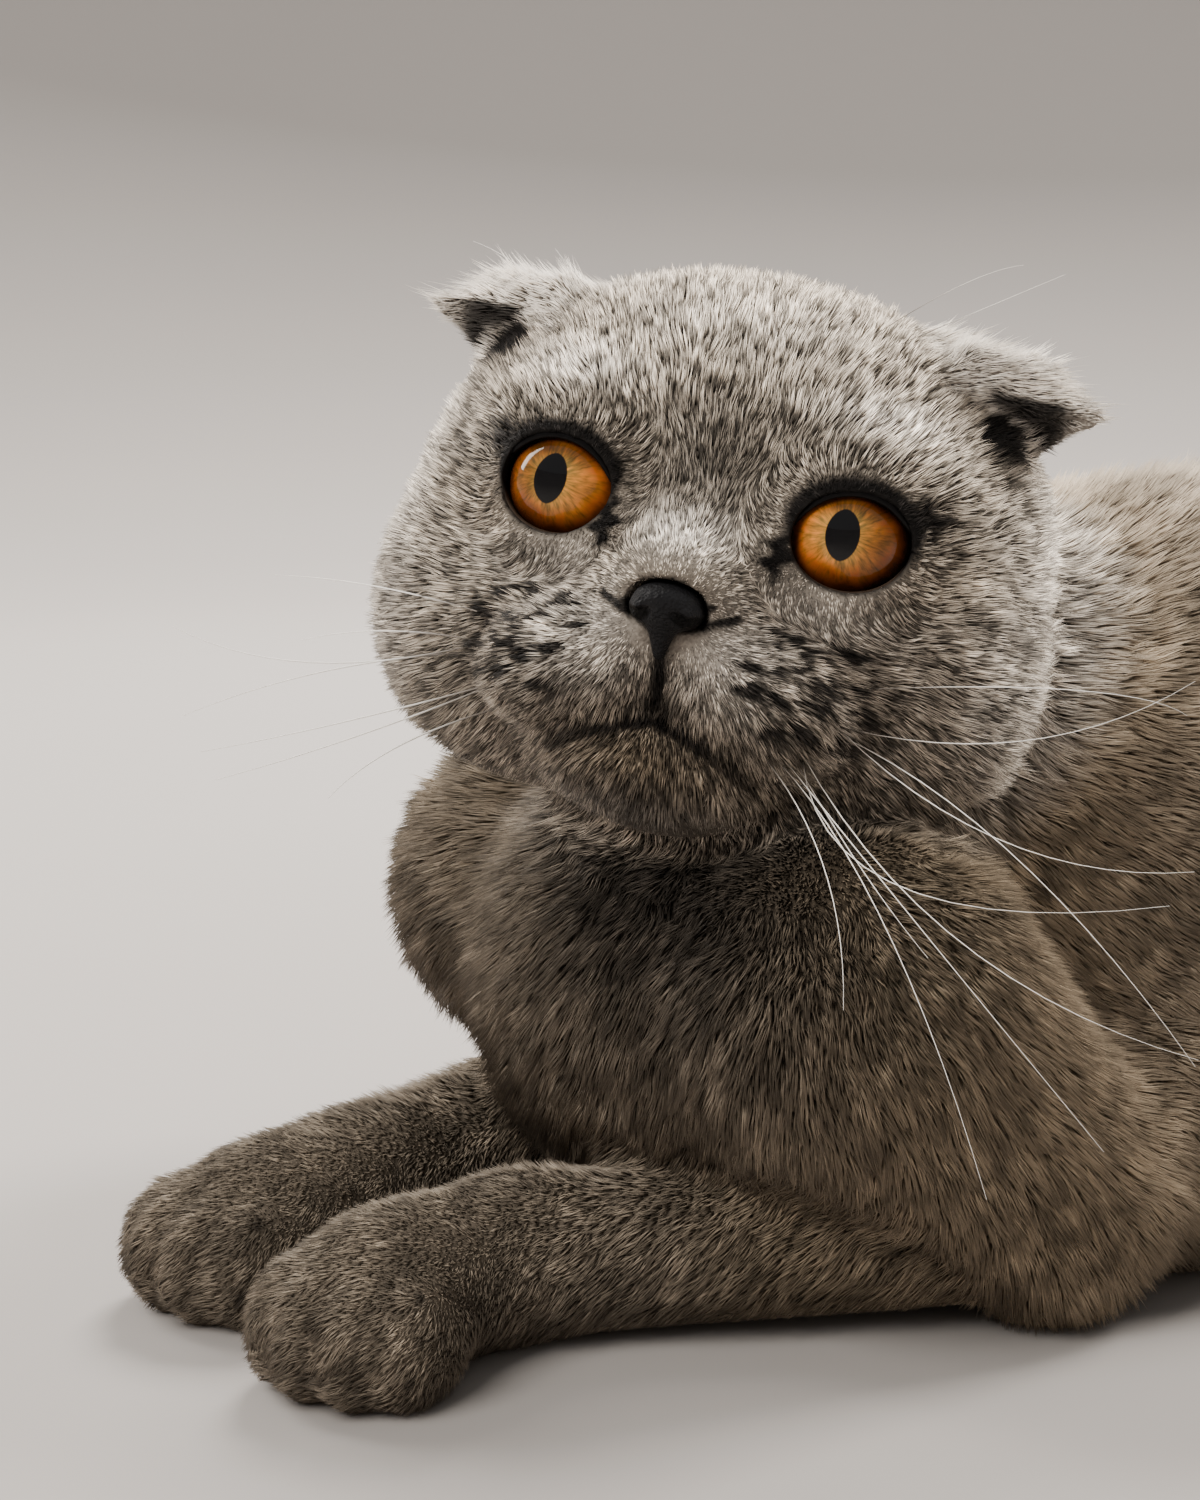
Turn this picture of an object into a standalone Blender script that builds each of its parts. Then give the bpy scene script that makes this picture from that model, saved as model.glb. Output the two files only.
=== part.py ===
# A Scottish fold cat lying on its chest, life size, as a still museum model.
# +X is the cat's left, -Y the way its chest points, +Z up, and the floor is z = 0.
# All sizes are in metres, angles in degrees, and every form reaches out to the coat's tips.
# A region is modelled like clay: rounded lumps flow into one another, one even skin is
# drawn over them, and thin cuts part it into nodes that are each one closed solid.

import math

import bmesh
import bpy
import numpy as np
from mathutils import Matrix, Vector

# Driving dimensions of the whole animal
GAP = 0.0003
FLOOR_DEPTH = 0.08

# Head: its middle, how it turns to the cat's left, lifts, and leans over
HEAD_AT = (0.0060, 0.0015, 0.1340)
HEAD_TURN = 49.0
HEAD_LIFT = 7.5
HEAD_LEAN = 10.0
EYE_AT = (0.0234, -0.0262, 0.0)
EYE_RADIUS = 0.0105
EYE_OUTWARD = 8.0
LID_THICKNESS = 0.0018
EYE_OPENING = (0.0096, 0.0080)
MOUTH_TOP = (0.0, -0.0338)
MOUTH_CORNER = (0.0155, -0.0402)
LIP_GROOVE = 0.0011

# Ears: base, middle, tip and the start of the fold, and how thick they are at the first three
EAR_PLACES = {
    "left": ((0.032, 0.006, 0.0245), (0.0452, 0.001, 0.0284), (0.0575, -0.004, 0.0286),
             (0.036, -0.006, 0.0305)),
    "right": ((0.032, 0.006, 0.0220), (0.0460, 0.001, 0.0268), (0.0575, -0.004, 0.0262),
              (0.036, -0.006, 0.0292)),
}
EAR_RADII = {"left": (0.0155, 0.0085, 0.0012), "right": (0.0148, 0.0083, 0.0012)}
EAR_CUP = ((0.0440, -0.0110, 0.0196), (0.0545, -0.0080, 0.0240))

# Trunk, along +Y behind the head
CHEST_AT = (0.0, 0.004, 0.051)
CHEST_SIZE = (0.052, 0.045, 0.046)
THROAT_AT = (0.016, -0.034, 0.094)
THROAT_SIZE = (0.030, 0.016, 0.010)
RIBS_AT = (0.0, 0.104, 0.070)
RIBS_SIZE = (0.066, 0.086, 0.068)
BELLY_AT = (0.0, 0.160, 0.067)
BELLY_SIZE = (0.074, 0.072, 0.072)
RUMP_AT = (0.0, 0.224, 0.070)
RUMP_SIZE = (0.066, 0.062, 0.070)
WITHERS_AT = (0.0, 0.044, 0.092)
WITHERS_SIZE = (0.046, 0.046, 0.040)
FLANK_AT = (0.030, 0.080, 0.026)
FLANK_SIZE = (0.044, 0.052, 0.032)
NECK_AT = (-0.008, 0.026, 0.104)
NECK_SIZE = (0.046, 0.040, 0.042)

# Forelegs: the left one lies across toward the middle, and its paw turns back out
SHOULDER = {"left": (0.047, 0.001, 0.056), "right": (-0.052, -0.001, 0.058)}
ELBOW = {"left": (0.055, 0.035, 0.021), "right": (-0.050, 0.034, 0.021)}
WRIST = {"left": (0.0185, -0.048, 0.0137), "right": (-0.0285, -0.054, 0.0137)}
FOREPAW = {"left": (0.0215, -0.0735), "right": (-0.0215, -0.0765)}
FOREPAW_TURN = {"left": 32.0, "right": 16.0}
UPPER_ARM = (0.033, 0.023)
FOREARM = (0.0175, 0.0134)

# Hind legs, as places on the cat's left; the right side mirrors them
HIP = (0.050, 0.212, 0.064)
KNEE = (0.076, 0.142, 0.030)
HOCK = (0.072, 0.232, 0.015)
HINDPAW = (0.080, 0.118)
HINDPAW_TURN = -6.0
PAW_LENGTH = 0.050
PAW_WIDTH = 0.037
PAW_HEIGHT = 0.026

# Tail, curled forward on the floor round the left haunch
TAIL_PATH = (
    (0.006, 0.262, 0.044),
    (0.040, 0.286, 0.022),
    (0.086, 0.272, 0.016),
    (0.114, 0.226, 0.015),
    (0.120, 0.172, 0.0135),
    (0.116, 0.122, 0.0105),
)
TAIL_RADII = (0.0210, 0.0185, 0.0165, 0.0150, 0.0138, 0.0110)


def material(name, colour, roughness):
    """A plain finish, looked up by name once it is made."""
    made = bpy.data.materials.get(name)
    if made is None:
        made = bpy.data.materials.new(name)
        made.use_nodes = True
        shader = made.node_tree.nodes["Principled BSDF"]
        shader.inputs["Base Color"].default_value = (*colour, 1.0)
        shader.inputs["Roughness"].default_value = roughness
        shader.inputs["Metallic"].default_value = 0.0
    return made


def link(name, mesh):
    made = bpy.data.objects.new(name, mesh)
    bpy.context.scene.collection.objects.link(made)
    return made


def bake(obj):
    """Apply every modifier of an object to its mesh."""
    bpy.context.view_layer.update()
    graph = bpy.context.evaluated_depsgraph_get()
    mesh = bpy.data.meshes.new_from_object(obj.evaluated_get(graph))
    obj.modifiers.clear()
    obj.data = mesh
    return obj


def mirror(point, side):
    """A place given for the cat's left, on the side asked for."""
    return (point[0] if side == "left" else -point[0], *point[1:])


def turned(turn, side="left"):
    """The rotation of angles about X, then Y, then Z, mirrored for the right side."""
    across = 1 if side == "left" else -1
    spin = Matrix.Identity(3)
    for axis, angle in zip("XYZ", (turn[0], across * turn[1], across * turn[2])):
        spin = Matrix.Rotation(math.radians(angle), 3, axis) @ spin
    return np.array(spin)


def blended(a, b, reach):
    """The lower of two heights, with the crease between them filled over a reach."""
    share = np.maximum(reach - np.abs(a - b), 0) / reach
    return np.minimum(a, b) - share**3 * reach / 6


class Clay:
    """Lumps and dents that flow into one another, and the skin drawn over them."""

    def __init__(self, place=None):
        self.forms = []
        self.balls = []
        self.place = place or Matrix.Identity(4)

    def egg(self, centre, size, turn=(0, 0, 0), reach=0.010, dent=False, side="left"):
        """A lump, or a dent, of three half sizes, turned about its own middle."""
        centre, size = np.array(mirror(centre, side)), np.array(size)
        spin = turned(turn, side)

        def height(points):
            local = (points - centre) @ spin / size
            out = np.linalg.norm(local, axis=1)
            return out * (out - 1) / (np.linalg.norm(local / size, axis=1) + 1e-9)

        self.forms.append((height, reach, dent))
        if not dent:
            self.balls.append((centre, size, spin))

    def bone(self, start, end, radii, reach=0.010, dent=False, side="left"):
        """A round lump or dent that tapers along a line from one place to another."""
        start, end = np.array(mirror(start, side)), np.array(mirror(end, side))
        line = end - start

        def height(points):
            share = np.clip((points - start) @ line / (line @ line), 0, 1)
            nearest = start + share[:, None] * line
            radius = radii[0] + share * (radii[1] - radii[0])
            return np.linalg.norm(points - nearest, axis=1) - radius

        self.forms.append((height, reach, dent))
        steps = 2 + int(4 * np.linalg.norm(line) / max(min(radii), 0.004))
        for share in np.linspace(0, 1, 0 if dent else steps):
            radius = radii[0] + share * (radii[1] - radii[0])
            self.balls.append((start + share * line, np.full(3, radius), np.eye(3)))

    def both(self, shape, *args, **settings):
        """The same lump or dent on the left and on the right."""
        for side in ("left", "right"):
            shape(*args, side=side, **settings)

    def height(self, points):
        """How far points lie outside the blended clay."""
        found = None
        for form, reach, dent in self.forms:
            if found is None:
                found = form(points)
            elif dent:
                found = -blended(-found, form(points), reach)
            else:
                found = blended(found, form(points), reach)
        return found

    def settle(self, points):
        """Points moved straight onto the clay's surface."""
        step = 0.00005
        here = self.height(points)
        slope = np.stack(
            [(self.height(points + step * axis) - here) / step for axis in np.eye(3)], 1
        )
        steep = np.maximum((slope**2).sum(1), 0.1)
        move = np.clip(here / steep, -0.006, 0.006)
        return points - move[:, None] * slope

    def skin(self, name, voxel, triangles):
        """One closed object over the clay, of about so many triangles."""
        mesh, lumps = bpy.data.meshes.new(name), bmesh.new()
        for centre, size, spin in self.balls:
            where = Matrix.Translation(Vector(centre)) @ Matrix(spin).to_4x4()
            where = where @ Matrix.Diagonal((*size, 1.0))
            bmesh.ops.create_icosphere(lumps, subdivisions=3, radius=1.0, matrix=where)
        lumps.to_mesh(mesh)
        lumps.free()
        body = link(name, mesh)
        remesh = body.modifiers.new("clay", "REMESH")
        remesh.mode = "VOXEL"
        remesh.voxel_size = voxel
        soften = body.modifiers.new("soften", "SMOOTH")
        soften.factor = 0.5
        soften.iterations = 4
        largest(bake(body))
        points = np.array([v.co for v in body.data.vertices])
        ends = np.array([e.vertices for e in body.data.edges])
        ends = np.concatenate([ends, ends[:, ::-1]])
        count = np.bincount(ends[:, 0], minlength=len(points))
        for _ in range(6):
            points = self.settle(points)
            middle = [np.bincount(ends[:, 0], points[ends[:, 1], k]) for k in range(3)]
            points = 0.5 * points + 0.5 * np.stack(middle, 1) / count[:, None]
        for _ in range(3):
            points = self.settle(points)
        place = np.array(self.place)
        points = points @ place[:3, :3].T + place[:3, 3]
        body.data.vertices.foreach_set("co", points.ravel())
        body.data.update()
        return thin(body, triangles)


def along(stations, at):
    """The station a share of the way along a smooth curve through them all."""
    k = min(int(at), len(stations) - 2)
    t, a, b = at - k, stations[k], stations[k + 1]
    before, after = stations[max(k - 1, 0)], stations[min(k + 2, len(stations) - 1)]
    bend = (b - before) * t + (2 * before - 5 * a + 4 * b - after) * t**2
    return a + (bend + (3 * a - before - 3 * b + after) * t**3) / 2


def thin(body, triangles):
    """Fewer, larger triangles where the form allows it."""
    body.data.calc_loop_triangles()
    share = triangles / len(body.data.loop_triangles)
    decimate = body.modifiers.new("thin", "DECIMATE")
    decimate.ratio = min(share, 1.0)
    decimate.use_collapse_triangulate = True
    return bake(body)


def largest(body):
    """Only the largest closed surface of the object."""
    shape = bmesh.new()
    shape.from_mesh(body.data)
    unseen, islands = set(shape.verts), []
    while unseen:
        island, front = set(), [unseen.pop()]
        while front:
            vertex = front.pop()
            island.add(vertex)
            for edge in vertex.link_edges:
                other = edge.other_vert(vertex)
                if other in unseen:
                    unseen.discard(other)
                    front.append(other)
        islands.append(island)
    keep = max(islands, key=len)
    bmesh.ops.delete(shape, geom=[v for v in shape.verts if v not in keep], context="VERTS")
    shape.to_mesh(body.data)
    shape.free()
    return body


def grown(body, by=GAP):
    """A copy whose faces stand the given distance further out."""
    copy = link(body.name + "_grown", body.data.copy())
    shape = bmesh.new()
    shape.from_mesh(copy.data)
    shape.normal_update()
    for vertex in shape.verts:
        vertex.co += vertex.normal * by * min(vertex.calc_shell_factor(), 2.0)
    shape.to_mesh(copy.data)
    shape.free()
    return copy


def combine(body, other, operation):
    """Cut, keep or join one closed object with another, and drop the other."""
    step = body.modifiers.new(operation.lower(), "BOOLEAN")
    step.operation = operation
    step.solver = "EXACT"
    step.object = other
    bake(body)
    bpy.data.objects.remove(other)
    return largest(body)


def clear_of(body, *others):
    """Take other nodes, grown by the gap, out of this one. They stay."""
    for other in others:
        combine(body, grown(other), "DIFFERENCE")
    return body


def block(centre, size, turn=(0, 0, 0)):
    """A box to cut with."""
    bpy.ops.mesh.primitive_cube_add(size=1)
    box = bpy.context.object
    place = Matrix.Translation(Vector(centre)) @ Matrix(turned(turn)).to_4x4()
    box.data.transform(place @ Matrix.Diagonal((*size, 1.0)))
    return box


def stand(body):
    """Trim what reaches under the floor, which leaves small flats at z = 0."""
    return combine(body, block((0, 0.1, -FLOOR_DEPTH / 2), (0.9, 0.9, FLOOR_DEPTH)), "DIFFERENCE")


def part_off(whole, cutter, name):
    """Split a solid in two along the face of a cutter, and leave a thin gap."""
    piece = link(name, whole.data.copy())
    wider = grown(cutter)
    combine(piece, cutter, "INTERSECT")
    combine(whole, wider, "DIFFERENCE")
    return piece


def boulder(name, centre, size, turn=(0, 0, 0), side="left"):
    """A coarse egg to part a region off with."""
    made = bmesh.new()
    place = Matrix.Translation(Vector(mirror(centre, side)))
    place = place @ Matrix(turned(turn, side)).to_4x4() @ Matrix.Diagonal((*size, 1.0))
    bmesh.ops.create_icosphere(made, subdivisions=2, radius=1.0, matrix=place)
    egg = link(name, bpy.data.meshes.new(name))
    made.to_mesh(egg.data)
    made.free()
    return egg


def finish(body, name, finish_material):
    """Name the node, give it its material and shade it smooth."""
    body.name = name
    body.data.name = name
    body.data.materials.clear()
    body.data.materials.append(finish_material)
    body.data.shade_smooth()
    return body


def centre_on_floor():
    """Move everything so that its bounding box is centred over the origin."""
    nodes = [obj for obj in bpy.data.objects if obj.type == "MESH"]
    points = [corner for node in nodes for corner in node.bound_box]
    middle = [(min(p[k] for p in points) + max(p[k] for p in points)) / 2 for k in (0, 1)]
    for node in nodes:
        node.data.transform(Matrix.Translation((-middle[0], -middle[1], 0)))


def head_place():
    """From the head's own frame, where -Y is the way it faces, to the room."""
    spin = Matrix.Rotation(math.radians(HEAD_TURN), 4, "Z")
    spin = spin @ Matrix.Rotation(math.radians(-HEAD_LIFT), 4, "X")
    spin = spin @ Matrix.Rotation(math.radians(HEAD_LEAN), 4, "Y")
    return Matrix.Translation(Vector(HEAD_AT)) @ spin


def head_clay():
    """Round skull, full jowls, broad whisker pads, firm chin and a short dipped nose."""
    clay = Clay(head_place())
    clay.egg((0, 0.006, 0.003), (0.054, 0.042, 0.0395))
    clay.egg((0, 0.018, -0.010), (0.050, 0.032, 0.042), reach=0.02)
    clay.both(clay.egg, (0.0312, -0.003, -0.0220), (0.0275, 0.029, 0.0290), reach=0.020)
    clay.egg((0, -0.008, -0.030), (0.034, 0.030, 0.024), reach=0.015)
    clay.both(clay.egg, (0.020, -0.018, -0.018), (0.020, 0.019, 0.018), reach=0.014)
    clay.egg((0, -0.0280, -0.0405), (0.0205, 0.0165, 0.0120), reach=0.012)
    clay.both(clay.egg, (0.0080, -0.0320, -0.0125), (0.0120, 0.0140, 0.0110), reach=0.010)
    clay.bone((0, -0.0325, -0.0030), (0, -0.0453, -0.0118), (0.0098, 0.0091), reach=0.010)
    clay.both(
        clay.egg, (0.0140, -0.0345, -0.0265), (0.0190, 0.0170, 0.0120), (0, 24, 12), reach=0.005
    )
    clay.both(clay.egg, (0.0225, -0.0215, 0.0135), (0.0175, 0.0130, 0.0080), (0, 12, 0), reach=0.015)
    clay.both(clay.egg, EYE_AT, [EYE_RADIUS + LID_THICKNESS] * 3, reach=0.007)
    return clay


def eye(side):
    """A round eyeball, and the opening that its lids leave."""
    place = head_place() @ Matrix.Translation(Vector(mirror(EYE_AT, side)))
    across = 1 if side == "left" else -1
    place = place @ Matrix.Rotation(math.radians(across * EYE_OUTWARD), 4, "Z")
    made = bmesh.new()
    bmesh.ops.create_uvsphere(
        made, u_segments=20, v_segments=12, radius=EYE_RADIUS,
        matrix=place @ Matrix.Rotation(math.radians(90), 4, "X"),
    )
    ball = link("eye_" + side, bpy.data.meshes.new("eye"))
    made.to_mesh(ball.data)
    made.free()
    opening = bmesh.new()
    reach = 2 * EYE_RADIUS
    shape = place @ Matrix.Rotation(math.radians(-6 * across), 4, "Y")
    shape = shape @ Matrix.Translation((0, -reach / 2, 0)) @ Matrix.Rotation(math.radians(90), 4, "X")
    bmesh.ops.create_cone(
        opening, cap_ends=True, segments=32, radius1=1, radius2=1, depth=reach,
        matrix=shape @ Matrix.Diagonal((*EYE_OPENING, 1, 1)),
    )
    cutter = link("opening_" + side, bpy.data.meshes.new("opening"))
    opening.to_mesh(cutter.data)
    opening.free()
    return ball, cutter


def groove(body, path, radius):
    """A round-bottomed line pressed into the front of the head along x, z places."""
    place = head_place()
    back = place.inverted()
    curve = bpy.data.curves.new("line", "CURVE")
    curve.dimensions = "3D"
    curve.bevel_depth = radius
    curve.bevel_resolution = 1
    curve.use_fill_caps = True
    points = []
    for x, z in path:
        start, ahead = place @ Vector((x, -0.09, z)), place.to_3x3() @ Vector((0, 1, 0))
        hit, where, _, _ = body.ray_cast(start, ahead)
        if hit:
            points.append(where)
    line = curve.splines.new("POLY")
    line.points.add(len(points) - 1)
    for point, where in zip(line.points, points):
        point.co = (*where, 1)
    tube = link("line", curve)
    bpy.context.view_layer.update()
    mesh = bpy.data.meshes.new_from_object(tube)
    bpy.data.objects.remove(tube)
    return combine(body, link("groove", mesh), "DIFFERENCE")


def nose():
    """The bare leather, broad above and narrow below, with its two nostrils."""
    clay = Clay(head_place())
    clay.egg((0, -0.0503, -0.0139), (0.0058, 0.0060, 0.0031), reach=0.002)
    clay.both(clay.egg, (0.0036, -0.0498, -0.0159), (0.0030, 0.0056, 0.0027), reach=0.002)
    clay.bone((0, -0.0520, -0.0160), (0, -0.0492, -0.0228), (0.0035, 0.0012), reach=0.003)
    clay.both(
        clay.egg, (0.0033, -0.0556, -0.0171), (0.0018, 0.0032, 0.0013), (0, 30, 0),
        reach=0.0008, dent=True,
    )
    clay.both(
        clay.bone, (0.0042, -0.0552, -0.0176), (0.0080, -0.0512, -0.0161), (0.0010, 0.0007),
        reach=0.0006, dent=True,
    )
    clay.bone((0, -0.0580, -0.0168), (0, -0.0520, -0.0236), (0.0007, 0.0005), 0.0010, True)
    return clay.skin("nose", 0.00040, 560)


def ear(side):
    """A small ear whose flap folds forward and out over its cup."""
    clay = Clay(head_place())
    base, middle, tip, fold = EAR_PLACES[side]
    thick = EAR_RADII[side]
    clay.bone(base, middle, thick[:2], side=side)
    clay.bone(middle, tip, thick[1:], 0.004, side=side)
    clay.bone(fold, (tip[0] - 0.001, tip[1] - 0.002, tip[2]), (0.0066, thick[2]), 0.007, side=side)
    clay.bone(*EAR_CUP, (0.0074, 0.0026), 0.002, True, side)
    clay.bone((0.0445, -0.0030, 0.0222), (0.0500, -0.0060, 0.0236), (0.0040, 0.0026), 0.002, True, side)
    return clay.skin("ear_" + side, 0.0010, 700)


def paw(clay, at, turn):
    """A rounded paw with four toes, flat on the floor."""
    spin = turned((0, 0, turn))
    origin = np.array((*at, 0.0))

    def place(x, y, z):
        return tuple(origin + spin @ np.array((x * PAW_WIDTH, y * PAW_LENGTH, z * PAW_HEIGHT)))

    clay.egg(place(0, 0.06, 0.50), (0.44 * PAW_WIDTH, 0.42 * PAW_LENGTH, 0.48 * PAW_HEIGHT),
             (0, 0, turn))
    for x, y in ((-0.33, -0.22), (-0.125, -0.30), (0.125, -0.30), (0.33, -0.22)):
        clay.egg(place(x, y, 0.38), (0.165 * PAW_WIDTH, 0.23 * PAW_LENGTH, 0.42 * PAW_HEIGHT),
                 (0, 0, turn - 20 * x), reach=0.006)


def foreleg(side):
    """Forearm along the floor and the paw that ends it."""
    clay = Clay()
    clay.bone(ELBOW[side], WRIST[side], FOREARM)
    clay.bone(WRIST[side], (*FOREPAW[side], 0.013), (FOREARM[1], 0.0130))
    paw(clay, FOREPAW[side], FOREPAW_TURN[side])
    return stand(clay.skin("foreleg_" + side, 0.0016, 1000))


def hindfoot(side):
    """The long hind foot flat on the floor, with its paw."""
    clay = Clay()
    across = 1 if side == "left" else -1
    clay.bone(mirror(HOCK, side), (*mirror(HINDPAW, side), 0.0150), (0.0160, 0.0150))
    paw(clay, mirror(HINDPAW, side), across * HINDPAW_TURN)
    return stand(clay.skin("hindfoot_" + side, 0.0020, 520))


def trunk():
    """Chest, ribs, belly, rump, neck, upper arms and haunches in one skin."""
    clay = Clay()
    clay.egg(RIBS_AT, RIBS_SIZE, reach=0.03)
    clay.egg(CHEST_AT, CHEST_SIZE, reach=0.03)
    clay.egg(BELLY_AT, BELLY_SIZE, reach=0.03)
    clay.egg(RUMP_AT, RUMP_SIZE, reach=0.03)
    clay.egg(WITHERS_AT, WITHERS_SIZE, reach=0.03)
    clay.egg(NECK_AT, NECK_SIZE, reach=0.02)
    clay.both(clay.egg, FLANK_AT, FLANK_SIZE, reach=0.02)
    for side in ("left", "right"):
        clay.bone(SHOULDER[side], ELBOW[side], UPPER_ARM, reach=0.016)
    clay.egg(THROAT_AT, THROAT_SIZE, reach=0.008, dent=True)
    clay.both(clay.bone, HIP, KNEE, (0.050, 0.026), reach=0.018)
    clay.both(clay.bone, KNEE, HOCK, (0.026, 0.022), reach=0.016)
    return stand(clay.skin("torso", 0.0040, 2250))


def tail():
    """A thick furry tail that lies round the haunch."""
    clay = Clay()
    stations = np.column_stack([TAIL_PATH, TAIL_RADII])
    line = [along(stations, k + t) for k in range(len(stations) - 1) for t in (0, 0.25, 0.5, 0.75)]
    line.append(stations[-1])
    for a, b in zip(line, line[1:]):
        clay.bone(a[:3], b[:3], (a[3], b[3]), reach=0.004)
    return stand(clay.skin("tail_base", 0.0026, 760))


def main():
    for old in list(bpy.data.objects):
        bpy.data.objects.remove(old)

    coat = material("blue_coat", (0.165, 0.150, 0.132), 0.80)
    face = material("blue_face_coat", (0.200, 0.185, 0.165), 0.80)
    leather = material("nose_leather", (0.018, 0.016, 0.016), 0.45)
    iris = material("copper_eye", (0.55, 0.20, 0.035), 0.12)

    skull = head_clay().skin("head", 0.0016, 3300)
    skull_before_cuts = grown(skull)
    for side in ("left", "right"):
        ball, opening = eye(side)
        combine(skull, opening, "DIFFERENCE")
        clear_of(skull, ball)
        finish(ball, "eye_" + side, iris)
    leather_pad = nose()
    top, corner = MOUTH_TOP, MOUTH_CORNER
    groove(skull, [(0, -0.0215 - 0.0012 * k) for k in range(10)], LIP_GROOVE)
    lips = []
    for k in range(-8, 9):
        share = abs(k) / 8
        x = math.copysign(corner[0] * share, k)
        lips.append((x, top[1] + (corner[1] - top[1]) * share**1.15))
    groove(skull, lips, LIP_GROOVE)
    clear_of(skull, leather_pad)
    finish(leather_pad, "nose", leather)
    for side in ("left", "right"):
        flap = ear(side)
        combine(flap, grown(skull_before_cuts, 0.0), "DIFFERENCE")
        finish(flap, "ear_" + side, face)

    body = combine(trunk(), grown(skull_before_cuts, 0.0), "DIFFERENCE")
    bpy.data.objects.remove(skull_before_cuts)
    finish(skull, "head", face)

    feet = {}
    for side in ("left", "right"):
        leg = clear_of(foreleg(side), body)
        along_leg = Vector(WRIST[side]) - Vector(ELBOW[side])
        along_leg.z = 0
        ahead = Vector(WRIST[side]) + 0.053 * along_leg.normalized()
        turn = math.degrees(math.atan2(along_leg.x, -along_leg.y))
        toes = block(ahead, (0.12, 0.12, 0.12), (0, 0, turn))
        name = "foreleg_" + side
        finish(part_off(leg, toes, name + "_paw"), name + "_paw", coat)
        finish(leg, name + "_forearm", coat)
        feet[side] = clear_of(hindfoot(side), body)
        finish(feet[side], f"hindleg_{side}_foot", coat)

    whip = clear_of(tail(), body, feet["left"])
    middle = block((0.16, 0.10, 0.03), (0.16, 0.26, 0.12), (0, 0, 0))
    rest = part_off(whip, middle, "tail_middle")
    tip = part_off(rest, block((0.12, 0.10, 0.03), (0.12, 0.12, 0.12)), "tail_tip")
    for piece, name in ((whip, "tail_base"), (rest, "tail_middle"), (tip, "tail_tip")):
        finish(piece, name, coat)

    cutter = boulder("cutter", (-0.008, 0.012, 0.150), (0.100, 0.070, 0.080))
    finish(part_off(body, cutter, "neck"), "neck", coat)
    for side in ("left", "right"):
        cutter = boulder("cutter", (0.086, -0.010, 0.030), (0.052, 0.080, 0.068), side=side)
        name = f"foreleg_{side}_upper"
        finish(part_off(body, cutter, name), name, coat)
        cutter = boulder(
            "cutter", (0.104, 0.196, 0.050), (0.068, 0.078, 0.100), (-30, 0, 0), side
        )
        name = f"hindleg_{side}_thigh"
        finish(part_off(body, cutter, name), name, coat)
    finish(body, "torso", coat)
    centre_on_floor()


main()
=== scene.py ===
import math

import bpy
import numpy as np
from mathutils import Matrix, Vector
from mathutils.kdtree import KDTree


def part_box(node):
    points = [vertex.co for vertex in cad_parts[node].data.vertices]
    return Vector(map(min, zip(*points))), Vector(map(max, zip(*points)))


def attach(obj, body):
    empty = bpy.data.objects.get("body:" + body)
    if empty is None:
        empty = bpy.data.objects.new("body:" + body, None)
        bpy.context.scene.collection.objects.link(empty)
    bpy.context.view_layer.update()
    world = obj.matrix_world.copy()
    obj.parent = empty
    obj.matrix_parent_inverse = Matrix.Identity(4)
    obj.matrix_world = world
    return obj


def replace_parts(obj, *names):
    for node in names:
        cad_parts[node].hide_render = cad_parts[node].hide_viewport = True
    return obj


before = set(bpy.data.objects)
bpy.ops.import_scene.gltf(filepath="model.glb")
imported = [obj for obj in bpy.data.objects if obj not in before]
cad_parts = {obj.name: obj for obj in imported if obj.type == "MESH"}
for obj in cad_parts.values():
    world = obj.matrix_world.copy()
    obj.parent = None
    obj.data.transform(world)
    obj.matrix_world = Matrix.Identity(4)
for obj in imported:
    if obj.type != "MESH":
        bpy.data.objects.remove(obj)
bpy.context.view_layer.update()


# The viewpoint. The cat is looked at from its left front, a little above its head and from
# about half a metre, with a long lens, so that head, chest and forepaws fill the frame.
VIEW_FROM = (0.4258, -0.3772, 0.1889)
VIEW_TURN, VIEW_PITCH = 60.0, 10.5
lens = bpy.data.cameras.new("camera")
lens.sensor_width, lens.lens, lens.clip_start = 36.0, 72.0, 0.01
camera = bpy.data.objects.new("camera", lens)
bpy.context.scene.collection.objects.link(camera)
camera.location = VIEW_FROM
camera.rotation_euler = (math.radians(90 - VIEW_PITCH), 0, math.radians(VIEW_TURN))
bpy.context.scene.camera = camera


# The head's own axes. It is turned to the cat's left, lifted a little and leant over, and
# everything on the face is measured from its middle: x to the cat's left, -y ahead, z up.
HEAD_TURN, HEAD_LIFT, HEAD_LEAN = 49.0, 7.5, 10.0
EYE_FORWARD = 0.0262
SIDES = {"left": 1, "right": -1}


def axes(*turns):
    """A rotation, given as turns in degrees about named axes, one after another."""
    spin = Matrix.Identity(3)
    for axis, angle in turns:
        spin = spin @ Matrix.Rotation(math.radians(angle), 3, axis)
    return spin


eye_middle = {side: sum(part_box("eye_" + side), Vector()) / 2 for side in SIDES}
head_axes = axes(("Z", HEAD_TURN), ("X", -HEAD_LIFT), ("Y", HEAD_LEAN))
head_middle = (eye_middle["left"] + eye_middle["right"]) / 2
head_middle += head_axes @ Vector((0, EYE_FORWARD, 0))


def in_head(points):
    """Places measured in the head's own axes, in millimetres."""
    return (points - np.array(head_middle)) @ np.array(head_axes) * 1000


def out_of_head(places):
    """Places in the room, from millimetres in the head's own axes."""
    return np.array(places) / 1000 @ np.array(head_axes).T + np.array(head_middle)


def ease(values, low, high):
    """0 below low and 1 above high, smoothly, or the other way where high is lower."""
    share = np.clip((values - low) / (high - low), 0, 1)
    return share * share * (3 - 2 * share)


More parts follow.
